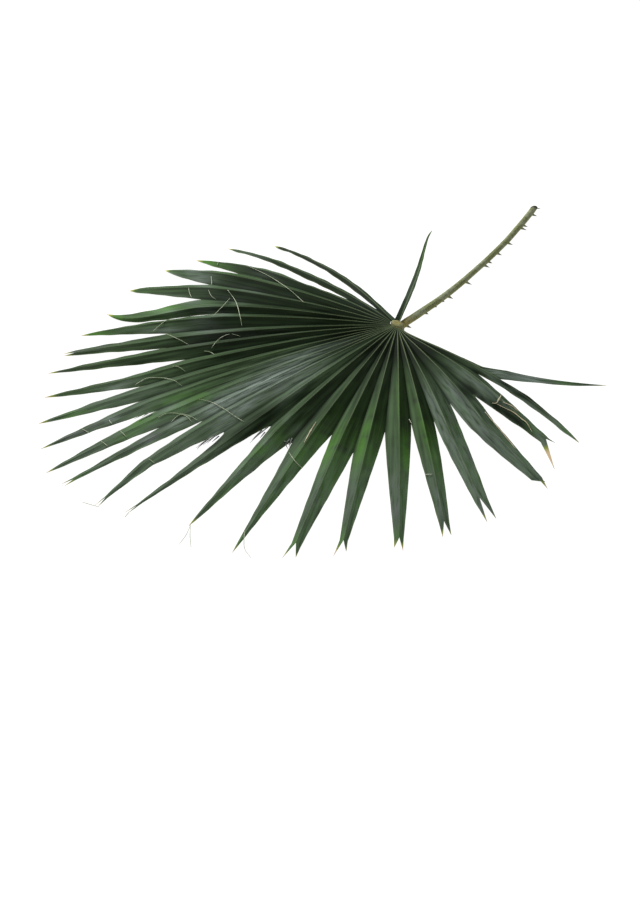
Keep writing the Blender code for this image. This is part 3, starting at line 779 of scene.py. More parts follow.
# The head: rings up its side and over its top, and lumps between the roots of the 28 rays
HEAD_SIDES = 112
HEAD_RINGS = np.concatenate([np.linspace(0.0, 0.84, 15), np.linspace(0.86, 1.0, 9)])
HEAD_DOME = np.array((0.6, 0.25, 0.0))
LUMP_DEPTH = 0.045
LUMP_START = 0.5
LUMP_GROWTH = 0.3
HEAD_RUN = 0.3
HEAD_YELLOW = 0.3
HEAD_YELLOW_MORE = 0.6
HEAD_YELLOW_START = 0.24
HEAD_YELLOW_SPAN = 0.05

# The flap of fibre at the cut: its root is beside the axis and past the cut, and it stands out sideways.
# Outgrowths, the flap and the thorns, have few rings
SPUR_OUT = 1.8 * MM
SPUR_PAST = 0.4 * MM
SPUR_LENGTH = 9.0 * MM
SPUR_WIDTH = 2.1 * MM
SPUR_BEND = (2.4 * MM, 1.6 * MM)
SPUR_NARROWING = 0.9
SPUR_CURVE = 1.2
SPUR_FLATNESS = 0.6
SPUR_SIDES = 8
SPUR_CUT_MARK = 0.5

# A thorn's half widths at its root and point, along the stalk and across
THORN_ALONG = (3.6 * MM, 0.12 * MM)
THORN_ACROSS = (1.6 * MM, 0.1 * MM)
THORN_CURVE = 1.15
THORN_HOOK = 1.1 * MM
THORN_SIDES = 10
OUTGROWTH_RINGS = 9


def stalk_place(distance):
    """Axis points, directions and level sideways directions at distances along the stalk."""
    distance = np.atleast_1d(distance)
    way = points_at(distance + AXIS_REACH, *STALK_PATH) - points_at(distance - AXIS_REACH, *STALK_PATH)
    way /= np.linalg.norm(way, axis=1, keepdims=True)
    return points_at(distance, *STALK_PATH), way, level_sideways(way)


def stalk_size(sizes, share):
    """A width or height between the values at the head, midway and at the cut."""
    return (sizes[0] + (sizes[1] - sizes[0]) * smooth(share * 2.0)
            + (sizes[2] - sizes[1]) * smooth(share * 2.0 - 1.0))


def thorn_places():
    """Distance, reach and side of each thorn: measured on the open edge, in scattered steps on the far one."""
    near = [(distance * MM, reach * MM, 1) for distance, reach in NEAR_THORNS]
    scatter = random.Random(SOLID_SEED)
    far = []
    for number in range(FAR_THORN_COUNT):
        distance = FAR_THORN_START + FAR_THORN_STEP * number + scatter.uniform(-1.0, 1.0) * FAR_THORN_SCATTER
        far.append((distance * MM, FAR_THORN_REACH * MM, -1))
    return near + far


STALK_PATH = smooth_path(STALK_AXIS, AXIS_STEPS)
STALK_LENGTH = STALK_PATH[1][-1]


def stalk_grid(settings):
    """The stalk: an oval whose upper half is higher than its lower one, with shallow grooves, carried along
    the axis. Its last rows slant with the cut and close it with a slightly sunk face."""
    share = np.linspace(0.0, 1.0, STALK_SECTIONS)
    axis, way, sideways = stalk_place(share * STALK_LENGTH)
    turn = full_turn(STALK_SIDES)[None, :]
    groove = settings.groove * (np.cos(GROOVES * turn) - 1.0) * smooth(share / GROOVE_GROWTH)[:, None]
    wobble = WOBBLE * np.sin(share * WOBBLE_RATE)[:, None] * np.cos(turn)
    across = np.cos(turn) * (stalk_size(STALK_WIDTHS, share)[:, None] / 2.0 + groove + wobble)
    part = np.where(np.sin(turn) > 0.0, STALK_TOP_SHARE, 1.0 - STALK_TOP_SHARE)
    rise = np.sin(turn) * (stalk_size(STALK_HEIGHTS, share)[:, None] * part + groove)
    slant = CUT_SLANT * smooth((share - CUT_SLANT_SHARE) / (1.0 - CUT_SLANT_SHARE))[:, None]
    spots = axis[:, None] + sideways[:, None] * across[..., None] + way[:, None] * (slant * across)[..., None]
    spots = spots + UPWARDS * rise[..., None]
    middle = spots[-1].mean(axis=0)
    sunk = way[-1] * CUT_DEPTHS[:, None, None]
    caps = middle + (spots[-1] - middle)[None] * CUT_RINGS[:, None, None] - sunk
    start = np.broadcast_to(axis[0], (1, STALK_SIDES, 3))
    spots = np.concatenate([start, spots, caps])
    share = np.concatenate([share[:1], share, np.ones(len(CUT_RINGS))])[:, None]
    stripes = [np.exp(-((turn - at) / spread) ** 2) * strength for at, spread, strength in EDGE_STRIPES]
    edge = np.maximum(*stripes) * smooth((share - EDGE_START) / EDGE_GROWTH)
    cut = smooth((share - CUT_MARK_START) / CUT_MARK_SPAN)
    yellow = 1.0 - smooth((share - EDGE_START) / YELLOW_END)
    values = {"run": ring_map(turn, share), "marks": mask_columns(edge, cut, yellow)}
    return spots.reshape(-1, 3), grid_faces(*spots.shape[:2], wrap=True), values


def head_grid():
    """The head: the solids' oval levels, joined by straight lines, with small lumps between the roots of the
    rays."""
    levels = np.array(HEAD_LEVELS)
    radius = np.interp(HEAD_RINGS, levels[:, 0], levels[:, 1])
    turn = full_turn(HEAD_SIDES)[None, :]
    grown = smooth((HEAD_RINGS - LUMP_START) / LUMP_GROWTH)[:, None]
    size = radius[:, None] * (1.0 - LUMP_DEPTH * (1.0 + np.cos(len(RAYS) * turn)) * grown)
    spots = np.stack([HEAD_HALF_WIDTH * size * np.cos(turn), HEAD_HALF_DEPTH * size * np.sin(turn),
                      np.broadcast_to(HEAD_HEIGHT * HEAD_RINGS[:, None], size.shape)], axis=-1)
    dome = HEAD_DOME[:, None, None]
    caps = spots[-1][None] * np.concatenate([dome, dome, np.ones_like(dome)], axis=-1)
    spots = np.concatenate([spots[:1] * UPWARDS, spots, caps])
    run = np.linspace(0.0, HEAD_RUN, len(spots))[:, None]
    yellow = HEAD_YELLOW + HEAD_YELLOW_MORE * smooth((run - HEAD_YELLOW_START) / HEAD_YELLOW_SPAN)
    yellow = np.broadcast_to(yellow, spots.shape[:2])
    values = {"run": ring_map(turn, run), "marks": mask_columns(0.0, 0.0, yellow)}
    return spots.reshape(-1, 3), grid_faces(*spots.shape[:2], wrap=True), values


def spur_grid():
    """A dark flap of fibre that stands out of the cut's far corner: a flat tube that narrows by a power of
    what is left of its length."""
    axis, way, sideways = stalk_place(STALK_LENGTH)
    root = axis[0] + sideways[0] * SPUR_OUT + way[0] * SPUR_PAST
    steps = np.linspace(0.0, 1.0, OUTGROWTH_RINGS)[:, None]
    bend = steps * SPUR_BEND[0] - steps ** 2 * SPUR_BEND[1]
    width = SPUR_WIDTH * (1.0 - SPUR_NARROWING * steps[:, 0]) ** SPUR_CURVE
    path = root + sideways[0] * steps * SPUR_LENGTH + way[0] * bend
    points, quads, values = tube(path, width, width * SPUR_FLATNESS, SPUR_SIDES)
    values["marks"] = mask_columns(np.zeros(len(points)), SPUR_CUT_MARK, 0.0)
    return points, quads, values


def thorn_grid(distance, reach, side):
    """A thorn: an oval cone, wide along the stalk, that narrows by a power of the distance out and hooks a
    little towards the cut."""
    axis, way, sideways = stalk_place(distance)
    outwards = sideways[0] * side - UPWARDS * THORN_DROOP
    outwards /= np.linalg.norm(outwards)
    start = float(stalk_size(STALK_WIDTHS, distance / STALK_LENGTH)) / 2.0 - THORN_ROOT_DEPTH
    steps = np.linspace(0.0, 1.0, OUTGROWTH_RINGS)[:, None]
    path = axis[0] + outwards * (start + (reach - start) * steps) + way[0] * steps ** 2 * THORN_HOOK
    narrow = (1.0 - steps[:, 0]) ** THORN_CURVE
    along, across = [root * narrow + point for root, point in (THORN_ALONG, THORN_ACROSS)]
    return tube(path, along, across, THORN_SIDES)


# How strands are laid on the blade, with steps in pixels, and their shapes
PIXEL_STEP = 1.5
PIXEL_PATH_STEPS = 16
LEAST_PATH_POINTS = 4
LAYING_PASSES = 4
RIDGE_LEVEL = 22.0 * MM
FLOOR_LEVEL = 1.0 * MM
RAY_CAST_HEIGHT = 100.0 * MM
STRAND_SIDES = 6
THREAD_CLEARANCE = 0.3 * MM
THREAD_START = 0.02
THREAD_TURN = 0.98
THREAD_LEAST = 0.35
SLIVER_CLEARANCE = 0.5 * MM
SLIVER_HEIGHT = 0.2 * MM
SLIVER_NARROWING = 0.85
STRIP_CLEARANCE = 0.6 * MM
STRIP_HEIGHT = 0.25 * MM
STRIP_LEAST = 0.35
STRIP_WAVE = 0.3
STRIP_WAVE_RATE = 19.0

# Threads, slivers and dry strips, each by the photograph's pixels that it passes
THREADS = (
    ((227.6, 289.7), (236, 302), (240, 316), (242, 326)),
    ((213, 316), (222, 307), (230, 298)),
    ((188.6, 288), (189.6, 293), (191.6, 297.4)),
    ((208.5, 290), (211.5, 296), (216, 299.6)),
    ((211, 276), (211.8, 281), (211.5, 285)),
    ((153, 331), (160, 325), (167, 320), (176, 318)),
    ((167, 334), (178, 339), (188.6, 344.5)),
    ((211.5, 348), (216, 342), (222, 337), (231, 334), (240.6, 336.4)),
    ((204, 351), (210, 352), (215, 355)),
    ((248, 266), (261, 272), (274, 279), (290, 290), (304, 302.5)),
    ((217, 265), (219, 261)),
    ((135, 385), (146, 378.5), (157, 377.6), (167, 378.5), (175, 381), (182, 386)),
    ((172.5, 366), (179, 367), (185.5, 371.6)),
    ((158, 417.5), (165, 414), (173, 413), (187, 415), (198.5, 420.6)),
    ((171, 422), (179, 415), (186, 416), (192, 422)),
    ((199, 399), (211, 402), (222, 407.6), (233, 415), (244, 422)),
    ((289, 452.5), (295, 461), (302, 468)),
    ((425, 474.3), (432.5, 474.3)),
    ((409, 419), (412, 424)),
    ((109, 420), (112, 424)), ((82, 429), (90, 433)), ((120.5, 431), (126.6, 437)),
    ((101, 441), (107.5, 446)), ((149, 459), (155, 463.4)), ((178, 473.4), (184, 474)),
)
TIP_THREADS = (
    ((190.5, 525), (186, 535), (179, 544.5)), ((190.5, 525), (190, 536), (191, 547)),
    ((245, 531), (244, 540), (244.8, 549), (250.6, 557.6)), ((99, 507), (92, 505), (82, 502)),
    ((129, 512.5), (125, 517), (128, 513)),
)
SLIVERS = (
    ((222, 432.5), (214, 437), (207, 443.5)), ((218, 434), (210, 439.5), (203, 445)),
    ((213, 436), (205, 441), (196, 448)), ((219, 436), (212, 442)), ((209, 438.5), (200, 446), (197, 449.5)),
    ((268, 427), (257, 436), (250, 443)), ((262, 430), (252, 440)), ((265, 432), (260, 438)),
    ((150, 412), (142, 417)), ((152, 414), (139, 421)), ((146, 413), (134, 419)),
    ((290, 439), (286, 444), (288, 449)), ((293, 441), (288, 445)), ((284, 441), (291, 444)),
    ((292, 438), (289, 447)),
)
DRY_STRIPS = (
    ((485, 412), (491, 419), (498, 427), (505, 435.5), (511, 443), (516, 449)),
    ((501.5, 394.6), (499, 399), (496.4, 403), (492, 403)),
    ((497, 404), (505, 408), (514, 412.5), (522, 419), (527, 423), (532, 431.6)),
    ((503, 402), (512, 406), (519, 412)),
    ((316, 422), (310, 432), (304, 443)), ((288, 251), (291, 251.5), (294, 253)),
)


def surface_below(tree, spots):
    """The height of the blade's top under each point, or no number where there is no blade."""
    heights = []
    for x, y in spots[:, :2]:
        hit = tree.ray_cast(Vector((x, y, RAY_CAST_HEIGHT)), Vector(-UPWARDS))[0]
        heights.append(math.nan if hit is None else hit.z)
    return np.array(heights)


def pixel_path(corners):
    """Pixels at even steps along a smooth curve through the corners."""
    corners = np.asarray(corners, float)
    if len(corners) == 2:
        corners = np.array([corners[0], corners.mean(axis=0), corners[1]])
    fine, along = smooth_path(corners, PIXEL_PATH_STEPS)
    count = max(LEAST_PATH_POINTS, int(round(along[-1] / PIXEL_STEP)) + 1)
    return points_at(np.linspace(0.0, along[-1], count), fine, along)


def laid_path(tree, corners, clearance):
    """A path over pixels that lies on the blade: the sight lines meet the level of the ridges under it, which
    is a running maximum of the blade's heights, smoothed. Past the blade it keeps the height of its last
    point on it, and a path that never meets the blade lies on the floor."""
    pixels = pixel_path(corners)
    lines = sight_lines(pixels)
    level = np.full(len(pixels), RIDGE_LEVEL)
    for _ in range(LAYING_PASSES):
        below = surface_below(tree, CAMERA_PLACE + lines * ((level - CAMERA_PLACE[2]) / lines[:, 2])[:, None])
        known = ~np.isnan(below)
        if not known.any():
            level = np.full(len(pixels), FLOOR_LEVEL)
            continue
        places = np.arange(len(pixels))
        below = np.interp(places, places[known], below[known])
        reach = [np.roll(np.pad(below, 2, mode="edge"), shift)[2:-2] for shift in (-2, -1, 0, 1, 2)]
        padded = np.pad(np.max(reach, axis=0), 1, mode="edge")
        level = np.maximum(below, (padded[:-2] + 2.0 * padded[1:-1] + padded[2:]) / 4.0) + clearance
    return CAMERA_PLACE + lines * ((level - CAMERA_PLACE[2]) / lines[:, 2])[:, None]


def lay_strands(context, name, courses, clearance, profile, material):
    """Tubes laid on the blade over each course of pixels. Profile gives half widths and half heights from the
    share of the length."""
    tree = BVHTree.FromObject(bpy.data.objects["leaf_blade_dressed"], context.evaluated_depsgraph_get())
    grids = []
    for corners in courses:
        path = laid_path(tree, corners, clearance)
        grids.append(tube(path, *profile(np.linspace(0.0, 1.0, len(path))), STRAND_SIDES))
    dress(make_piece(name, *join_grids(grids), [material]), "blade")


def thread_profile(radius, share):
    """Round, and thinner towards both ends by the root of a sine."""
    place = THREAD_START + (1.0 - THREAD_START) * share
    thin = THREAD_LEAST + (1.0 - THREAD_LEAST) * np.sqrt(np.sin(place * math.pi * THREAD_TURN) + THREAD_START)
    return radius * thin, radius * thin


def sliver_profile(width, share):
    """Flat, and narrower by the square of the share."""
    return width * (1.0 - share ** 2 * SLIVER_NARROWING), np.full(len(share), SLIVER_HEIGHT)


def strip_profile(width, share):
    """Flat, widest midway by a sine, and wavy along its edges."""
    wavy = np.sin(math.pi * share) * (1.0 + STRIP_WAVE * np.sin(STRIP_WAVE_RATE * share))
    return width * (STRIP_LEAST + (1.0 - STRIP_LEAST) * wavy), np.full(len(share), STRIP_HEIGHT)


# Materials

def leaf_lamina(settings):
    """Palm leaf lamina, underside: dark green tissue under a thin waxy skin. To the eye it is a dull satin
    with fine veins along each ray, a grey bloom in places, pale midribs, and tips that dried to straw. Light
    and shade are painted into its colour as well: painted shade at the roots, in the valleys and on halves
    turned from the light, a painted sheen in the grey bloom, and painted light through the lower rays in the
    fresh green."""
    material, tree, shader = new_material("leaf_lamina_waxy")
    masks = mask_channels(tree, {"looks": ("bloom_and_sheen", "mauve", "fresh_and_painted_light"), "lines": ("rib", "edge", "dry"),
                                 "shades": ("painted_shade", "tone", "valley")})
    veins = add(tree, "ShaderNodeUVMap", uv_map="veins").outputs["UV"]
    place = add(tree, "ShaderNodeTexCoord").outputs["Object"]
    # Veins about 1.4 mm apart that run for 80 mm, drawn coarser than the real ones so that they show, bands
    # of them about 5 mm wide, blotches of 25 mm and flecks 3 mm wide
    drawn = drawn_patterns(tree, {
        "veins": (veins, (720.0, 12.0, 1.0), 2.0), "bands": (veins, (210.0, 7.0, 1.0), 3.0),
        "blotches": (place, (40.0, 40.0, 40.0), 4.0), "flecks": (veins, (330.0, 30.0, 1.0), 3.0),
    })
    colour = painted(tree, settings.deep_green, (
        (None, drawn["bands"], 0.3, 0.7, 1.0, settings.mid_green),
        (masks["tone"], drawn["blotches"], 0.2, 0.7, 0.5, settings.mid_green),
        # Fresh green, which is also painted light through the lower rays
        (masks["fresh_and_painted_light"], drawn["blotches"], 0.2, 0.6, 1.0, settings.fresh_and_painted_light_green),
        (masks["mauve"], drawn["blotches"], 0.3, 0.65, 1.0, settings.mauve_grey),
        # Grey bloom, which is also painted sheen and painted highlights
        (masks["bloom_and_sheen"], drawn["flecks"], 0.25, 0.6, 1.0, settings.bloom_and_sheen_grey),
        (None, drawn["veins"], 0.56, 0.78, 0.4, settings.vein_green),
        (None, drawn["veins"], 0.44, 0.2, 0.55, settings.shade_and_vein_green),
        (None, drawn["flecks"], 0.6, 0.8, 0.35, settings.vein_green),
        # Painted shade at the roots, on halves turned from the light and in shadowed patches
        (masks["painted_shade"], drawn["bands"], -0.8, 0.5, 0.98, settings.shade_and_vein_green),
        # Painted shade in the creases of the valleys
        (masks["valley"], None, 0.0, 1.0, 0.7, settings.shade_and_vein_green),
        (masks["rib"], None, 0.0, 1.0, 0.8, settings.midrib_green),
        (masks["edge"], None, 0.0, 1.0, 0.45, settings.margin_green),
        (None, masks["dry"], 0.45, 0.85, 1.0, settings.turning_yellow),
        (None, masks["dry"], 0.8, 1.0, 1.0, settings.dry_straw),
    ))
    roughness = settings.roughness
    finish_shader(tree, shader, colour, drawn["veins"], roughness, spread=0.2, relief=(0.4, 0.4 * MM))
    # Plant wax has an IOR of about 1.45, and the even studio light shows next to no gloss on it
    shader.inputs["IOR"].default_value = 1.45
    shader.inputs["Specular IOR Level"].default_value = 0.03
    return material


def stalk_skin(settings):
    """Palm leaf stalk: a tough fibrous rind with a low sheen. To the eye it is grey olive, with long fine
    grooves, dull yellow along its edges and where the rays spring from it."""
    material, tree, shader = new_material("stalk_rind_fibrous")
    masks = mask_channels(tree, {"marks": ("edge", "cut", "yellow")})
    run = add(tree, "ShaderNodeUVMap", uv_map="run").outputs["UV"]
    place = add(tree, "ShaderNodeTexCoord").outputs["Object"]
    # Fibres about 0.7 mm apart round the stalk, drawn out along it, specks of 2 mm, blotches of 18 mm and
    # lumps of 4 mm
    drawn = drawn_patterns(tree, {
        "fibres": (run, (42.0, 9.0, 1.0), 3.0), "specks": (place, (420.0, 420.0, 420.0), 2.0),
        "blotches": (place, (55.0, 55.0, 55.0), 3.0), "lumps": (place, (230.0, 230.0, 230.0), 2.0),
    })
    colour = painted(tree, settings.olive_dark, (
        (None, drawn["fibres"], 0.3, 0.7, 1.0, settings.olive),
        (None, drawn["blotches"], 0.42, 0.6, 0.8, settings.olive_grey),
        (None, drawn["specks"], 0.54, 0.66, 0.6, settings.thorn_brown),
        (None, drawn["lumps"], 0.52, 0.66, 0.45, settings.olive_dark),
        (masks["edge"], None, 0.0, 1.0, 1.0, settings.edge_straw),
        (masks["yellow"], None, 0.0, 1.0, 1.0, settings.head_yellow),
        (masks["yellow"], drawn["lumps"], 0.42, 0.56, 0.4, settings.thorn_brown),
        (masks["cut"], None, 0.0, 1.0, 1.0, settings.cut_dark),
    ))
    finish_shader(tree, shader, colour, drawn["fibres"], 0.45, spread=0.25, relief=(0.5, 0.35 * MM))
    shader.inputs["Specular IOR Level"].default_value = 0.1
    return material


def thorn_horn(settings):
    """Thorn: hard horn-like tissue, olive at the root and brown at the point, smoother than the rind."""
    material, tree, shader = new_material("thorn_horn_smooth")
    run = add(tree, "ShaderNodeUVMap", uv_map="run").outputs["UV"]
    out = add(tree, "ShaderNodeSeparateXYZ", {"Vector": run}).outputs["Y"]
    place = add(tree, "ShaderNodeTexCoord").outputs["Object"]
    # A grain of about 1 mm, coarser than the real one so that it shows
    drawn = drawn_patterns(tree, {"grain": (place, (900.0, 900.0, 900.0), 2.0)})
    colour = painted(tree, settings.olive, ((None, out, 0.2, 0.7, 1.0, settings.thorn_brown),))
    finish_shader(tree, shader, colour, drawn["grain"], 0.3, spread=0.15, relief=(0.2, 0.1 * MM))
    return material


def fibre_thread(name, colours):
    """A loose leaf fibre or a dried strip: stiff dead tissue, matt, paler in places along its length."""
    material, tree, shader = new_material(name)
    place = add(tree, "ShaderNodeTexCoord").outputs["Object"]
    # A change of colour every 20 mm or so, and a grain of about 1 mm
    drawn = drawn_patterns(tree, {"change": (place, (50.0, 50.0, 50.0), 2.0),
                                  "grain": (place, (1000.0, 1000.0, 1000.0), 2.0)})
    colour = painted(tree, colours[0], ((None, drawn["change"], 0.35, 0.65, 1.0, colours[1]),))
    finish_shader(tree, shader, colour, drawn["grain"], 0.55, spread=0.2, relief=(0.3, 0.1 * MM))
    return material


def floor_panel(settings):
    """Studio floor: a matt acrylic table that is lit from within. To the eye it is plain white, with hardly
    any shadow."""
    material, tree, shader = new_material("floor_lit_acrylic")
    place = add(tree, "ShaderNodeTexCoord").outputs["Object"]
    # A tooth of about 17 mm, much coarser than the real one, which is too fine to show
    drawn = drawn_patterns(tree, {"tooth": (place, (60.0, 60.0, 60.0), 3.0)})
    layers = ((None, drawn["tooth"], 0.3, 0.7, 1.0, settings.floor_colour),)
    colour = painted(tree, settings.floor_shade, layers)
    finish_shader(tree, shader, colour, drawn["tooth"], 0.85, spread=0.1, relief=(0.05, 0.1 * MM))
    shader.inputs["Emission Color"].default_value = (1.0, 1.0, 1.0, 1.0)
    shader.inputs["Emission Strength"].default_value = settings.floor_glow
    return material


# Settings

def colour_setting(name, description, code):
    return bpy.props.FloatVectorProperty(name=name, description=description, subtype="COLOR", size=3, min=0.0,
                                         max=1.0, default=linear(code))


def number_setting(name, description, default, **more):
    return bpy.props.FloatProperty(name=name, description=description, default=default, min=0.0, **more)


def length_setting(name, description, default):
    return number_setting(name, description, default, subtype="DISTANCE", unit="LENGTH", precision=5)


class LeafBladeSettings(bpy.types.PropertyGroup):
    thickness: length_setting("Thickness", "Thickness of the lamina", 0.5 * MM)
    rib_height: length_setting("Midrib height", "Height of the round midrib over the fold", 0.8 * MM)
    rib_width: length_setting("Midrib width", "Half the width of the midrib", 1.1 * MM)
    buckle: length_setting("Buckle", "Height of the slow waves in the lamina", 0.9 * MM)
    roughness: number_setting("Roughness", "Least roughness of the skin", 0.55, max=1.0, subtype="FACTOR")
    seed: bpy.props.IntProperty(name="Seed", description="Seed of the waves and tones", default=11)
    # The darkest green: tissue between veins, and painted shade in the valleys, at the roots and on shaded
    # halves
    shade_and_vein_green: colour_setting("Shade green", "Darkest tissue, in the valleys and between veins", "#0a1406")
    deep_green: colour_setting("Deep green", "Dark tissue", "#26331f")
    mid_green: colour_setting("Mid green", "Common tissue", "#4b6342")
    # Fresh green is also painted light through the lower rays and on some shaded halves
    fresh_and_painted_light_green: colour_setting("Fresh green", "Young tissue at the ends", "#4a7a28")
    mauve_grey: colour_setting("Mauve grey", "Bruised patches", "#545355")
    # Bloom grey is also painted sheen, painted highlights and painted light on the right-hand rays
    bloom_and_sheen_grey: colour_setting("Bloom grey", "Wax bloom", "#8a978f")
    vein_green: colour_setting("Vein green", "Fine veins", "#5b6e50")
    midrib_green: colour_setting("Midrib green", "Midribs near the head", "#84946f")
    margin_green: colour_setting("Margin green", "Thin light margins", "#8a9a68")
    turning_yellow: colour_setting("Turning yellow", "Tissue next to dry tips", "#8f9a45")
    dry_straw: colour_setting("Dry straw", "Dry tips", "#d8bf98")


class LeafStalkSettings(bpy.types.PropertyGroup):
    groove: length_setting("Groove", "Depth of the long grooves", 0.12 * MM)
    olive: colour_setting("Olive", "Rind", "#8a9366")
    olive_dark: colour_setting("Dark olive", "Rind between fibres", "#676e49")
    olive_grey: colour_setting("Grey olive", "Weathered rind", "#949c80")
    edge_straw: colour_setting("Edge straw", "Lines along the two edges", "#857b30")
    head_yellow: colour_setting("Head yellow", "The head that the rays spring from", "#968c50")
    cut_dark: colour_setting("Cut brown", "The dried cut", "#3a3a2c")
    thorn_brown: colour_setting("Thorn brown", "Points of the thorns", "#4d3f28")


class LeafTrimSettings(bpy.types.PropertyGroup):
    thread_radius: length_setting("Thread radius", "Radius of a loose fibre", 0.42 * MM)
    sliver_width: length_setting("Sliver width", "Half the width of a frayed sliver", 1.0 * MM)
    strip_width: length_setting("Strip width", "Half the width of a dry strip", 1.0 * MM)
    thread_cream: colour_setting("Thread cream", "Dry fibres", "#cfd2b8")
    thread_green: colour_setting("Thread green", "Fresh fibres", "#a6b48c")
    straw: colour_setting("Straw", "Dry strips", "#d2c9a8")
    straw_brown: colour_setting("Brown straw", "Dry strips, darker parts", "#a09372")
    sliver_green: colour_setting("Sliver green", "Frayed slivers", "#20281c")
    sliver_grey: colour_setting("Sliver grey", "Frayed slivers, dull parts", "#4a544a")


class LeafStageSettings(bpy.types.PropertyGroup):
    floor_size: length_setting("Floor size", "Side of the floor", 60.0)
    floor_colour: colour_setting("Floor", "Floor panel", "#606060")
    floor_shade: colour_setting("Floor shade", "Floor panel, darker parts", "#5a5a5a")
    floor_glow: number_setting("Floor glow", "Strength of the light from the floor panel", 1.0)
    sky_strength: number_setting("Sky strength", "Strength of the even light", 0.38)
    key_power: number_setting("Key power", "Power of the large soft light, in watts", 84.0)
    key_size: length_setting("Key size", "Side of the large soft light", 1.2)
    key_elevation: number_setting("Key elevation", "Height of the large soft light as an angle",
                                  math.radians(31.0), subtype="ANGLE", unit="ROTATION")


# Studio

KEY_DISTANCE = 2.6
KEY_LEFT = 0.62
KEY_BEHIND = 0.78


def place_camera(context, forward):
    """The photograph's camera, with a focal length in millimetres from the one in pixels."""
    data = bpy.data.cameras.new("photo_camera")
    data.sensor_width = SENSOR_WIDTH
    data.lens = FOCAL_PIXELS * SENSOR_WIDTH / PHOTO_HEIGHT
    camera = bpy.data.objects.new("photo_camera", data)
    camera.location = Vector(CAMERA_PLACE)
    camera.rotation_euler = Vector(forward).to_track_quat("-Z", "Y").to_euler()
    context.scene.collection.objects.link(camera)
    context.scene.camera = camera


def add_area_light(context, name, place, size, power):
    """A square soft light that looks at the middle of the leaf."""
    data = bpy.data.lights.new(name, "AREA")
    data.size = size
    data.energy = power
    light = bpy.data.objects.new(name, data)
    light.location = Vector(place)
    light.rotation_euler = (-Vector(place)).to_track_quat("-Z", "Y").to_euler()
    context.scene.collection.objects.link(light)


# Operators

def dress(piece, slot, *nodes):
    """Tell the frame which body a piece rides, and the nodes of the solids that it replaces. The slot is not
    used.
    """
    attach(piece, "root")
    if nodes:
        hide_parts(*nodes)


class LEAF_OT_blade(bpy.types.Operator):
    """Build the blade: 28 folded rays with midribs, buckles and forked tips"""
    bl_idname = "leaf.blade"
    bl_label = "Blade"

    def execute(self, context):
        settings = context.scene.leaf_blade_settings
        scatter = random.Random(settings.seed)
        grids = []
        for index in range(len(RAYS)):
            for side in (-1, 1):
                spots, values = half_ray(index, side, settings, scatter)
                quads = grid_faces(*spots.shape[:2])
                grids.append((spots.reshape(-1, 3), quads if side > 0 else quads[:, ::-1], values))
        points, quads, values = join_grids(grids)
        piece = make_piece("leaf_blade_dressed", points, quads, values, [leaf_lamina(settings)], closed=False)
        wall = piece.modifiers.new("thickness", "SOLIDIFY")
        wall.thickness = settings.thickness
        wall.offset = 0.0
        dress(piece, "blade", "leaf_blade")
        return {"FINISHED"}


class LEAF_OT_stalk(bpy.types.Operator):
    """Build the stalk with its grooves, head and dark slanting cut"""
    bl_idname = "leaf.stalk"
    bl_label = "Stalk"

    def execute(self, context):
        settings = context.scene.leaf_stalk_settings
        grids = join_grids([stalk_grid(settings), head_grid(), spur_grid()])
        piece = make_piece("leaf_stalk_dressed", *grids, [stalk_skin(settings)])
        dress(piece, "stalk", "leaf_stalk")
        return {"FINISHED"}


class LEAF_OT_thorns(bpy.types.Operator):
    """Build the thorns along both edges of the stalk"""
    bl_idname = "leaf.thorns"
    bl_label = "Thorns"

    def execute(self, context):
        grids = join_grids([thorn_grid(*place) for place in thorn_places()])
        piece = make_piece("leaf_thorns", *grids, [thorn_horn(context.scene.leaf_stalk_settings)])
        dress(piece, "stalk")
        return {"FINISHED"}


class LEAF_OT_threads(bpy.types.Operator):
    """Lay the loose pale fibres on the blade and at its tips"""
    bl_idname = "leaf.threads"
    bl_label = "Threads"

    def execute(self, context):
        settings = context.scene.leaf_trim_settings
        material = fibre_thread("loose_fibre_matt", (settings.thread_cream, settings.thread_green))
        clearance = settings.thread_radius + THREAD_CLEARANCE
        profile = partial(thread_profile, settings.thread_radius)
        lay_strands(context, "leaf_threads", THREADS + TIP_THREADS, clearance, profile, material)
        return {"FINISHED"}


class LEAF_OT_slivers(bpy.types.Operator):
    """Lay the frayed slivers at the splits"""
    bl_idname = "leaf.slivers"
    bl_label = "Slivers"

    def execute(self, context):
        settings = context.scene.leaf_trim_settings
        material = fibre_thread("frayed_lamina", (settings.sliver_green, settings.sliver_grey))
        profile = partial(sliver_profile, settings.sliver_width)
        lay_strands(context, "leaf_slivers", SLIVERS, SLIVER_CLEARANCE, profile, material)
        return {"FINISHED"}


class LEAF_OT_dry_strips(bpy.types.Operator):
    """Lay the dried straw-coloured strips along the margins of the outer rays"""
    bl_idname = "leaf.dry_strips"
    bl_label = "Dry strips"

    def execute(self, context):
        settings = context.scene.leaf_trim_settings
        material = fibre_thread("dried_strip_matt", (settings.straw, settings.straw_brown))
        profile = partial(strip_profile, settings.strip_width)
        lay_strands(context, "leaf_dry_strips", DRY_STRIPS, STRIP_CLEARANCE, profile, material)
        return {"FINISHED"}


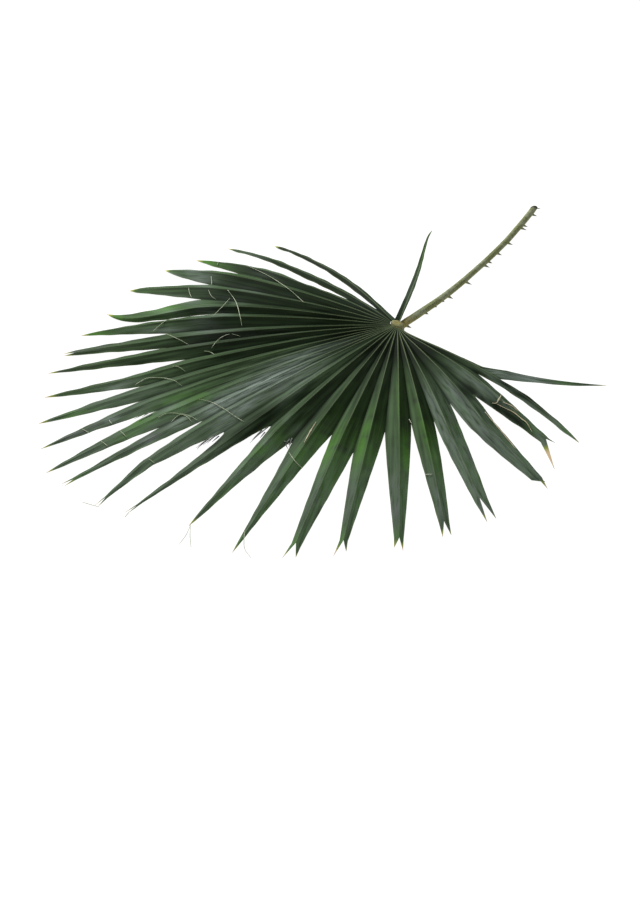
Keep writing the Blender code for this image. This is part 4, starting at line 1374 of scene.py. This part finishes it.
class LEAF_OT_stage(bpy.types.Operator):
    """Build the camera, the pale floor and the soft studio light"""
    bl_idname = "leaf.stage"
    bl_label = "Stage"

    def execute(self, context):
        settings = context.scene.leaf_stage_settings
        right, _, forward = view_axes()
        place_camera(context, forward)
        half = settings.floor_size / 2.0
        corners = np.array(((-half, -half, 0.0), (half, -half, 0.0), (half, half, 0.0), (-half, half, 0.0)))
        mesh = bpy.data.meshes.new("studio_floor")
        mesh.from_pydata(corners, [], [(0, 1, 2, 3)])
        mesh.materials.append(floor_panel(settings))
        floor = bpy.data.objects.new("studio_floor", mesh)
        context.scene.collection.objects.link(floor)
        world = bpy.data.worlds.new("studio_light")
        world.use_nodes = True
        background = world.node_tree.nodes["Background"]
        background.inputs["Color"].default_value = (1.0, 1.0, 1.0, 1.0)
        background.inputs["Strength"].default_value = settings.sky_strength
        context.scene.world = world
        context.scene.view_settings.view_transform = "Standard"
        away = np.array((forward[0], forward[1], 0.0)) / math.hypot(forward[0], forward[1])
        towards = away * KEY_BEHIND - right * KEY_LEFT
        direction = towards / np.linalg.norm(towards) * math.cos(settings.key_elevation)
        place = (direction + UPWARDS * math.sin(settings.key_elevation)) * KEY_DISTANCE
        add_area_light(context, "key_light", place, settings.key_size, settings.key_power)
        return {"FINISHED"}


class LEAF_PT_pieces(bpy.types.Panel):
    """The pieces of the leaf and its stage, each with its own button"""
    bl_idname = "LEAF_PT_pieces"
    bl_label = "Fan Palm Leaf"
    bl_space_type = "VIEW_3D"
    bl_region_type = "UI"
    bl_category = "Leaf"

    def draw(self, context):
        for operator in OPERATORS:
            self.layout.operator(operator.bl_idname)
        for name in SETTINGS:
            group = getattr(context.scene, name)
            for key in group.bl_rna.properties.keys():
                if key not in ("rna_type", "name"):
                    self.layout.prop(group, key)


OPERATORS = (LEAF_OT_blade, LEAF_OT_stalk, LEAF_OT_thorns, LEAF_OT_threads, LEAF_OT_slivers,
             LEAF_OT_dry_strips, LEAF_OT_stage)
SETTINGS = {"leaf_blade_settings": LeafBladeSettings, "leaf_stalk_settings": LeafStalkSettings,
            "leaf_trim_settings": LeafTrimSettings, "leaf_stage_settings": LeafStageSettings}


def register():
    for kind in (*SETTINGS.values(), *OPERATORS, LEAF_PT_pieces):
        bpy.utils.register_class(kind)
    for name, kind in SETTINGS.items():
        setattr(bpy.types.Scene, name, bpy.props.PointerProperty(type=kind))


def unregister():
    for name in SETTINGS:
        delattr(bpy.types.Scene, name)
    for kind in (LEAF_PT_pieces, *reversed(OPERATORS), *reversed(list(SETTINGS.values()))):
        bpy.utils.unregister_class(kind)


def main():
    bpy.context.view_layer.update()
    register()
    bpy.ops.leaf.stage()
    bpy.ops.leaf.blade()
    bpy.ops.leaf.stalk()
    bpy.ops.leaf.thorns()
    bpy.ops.leaf.threads()
    bpy.ops.leaf.slivers()
    bpy.ops.leaf.dry_strips()


if __name__ == "__main__":
    main()
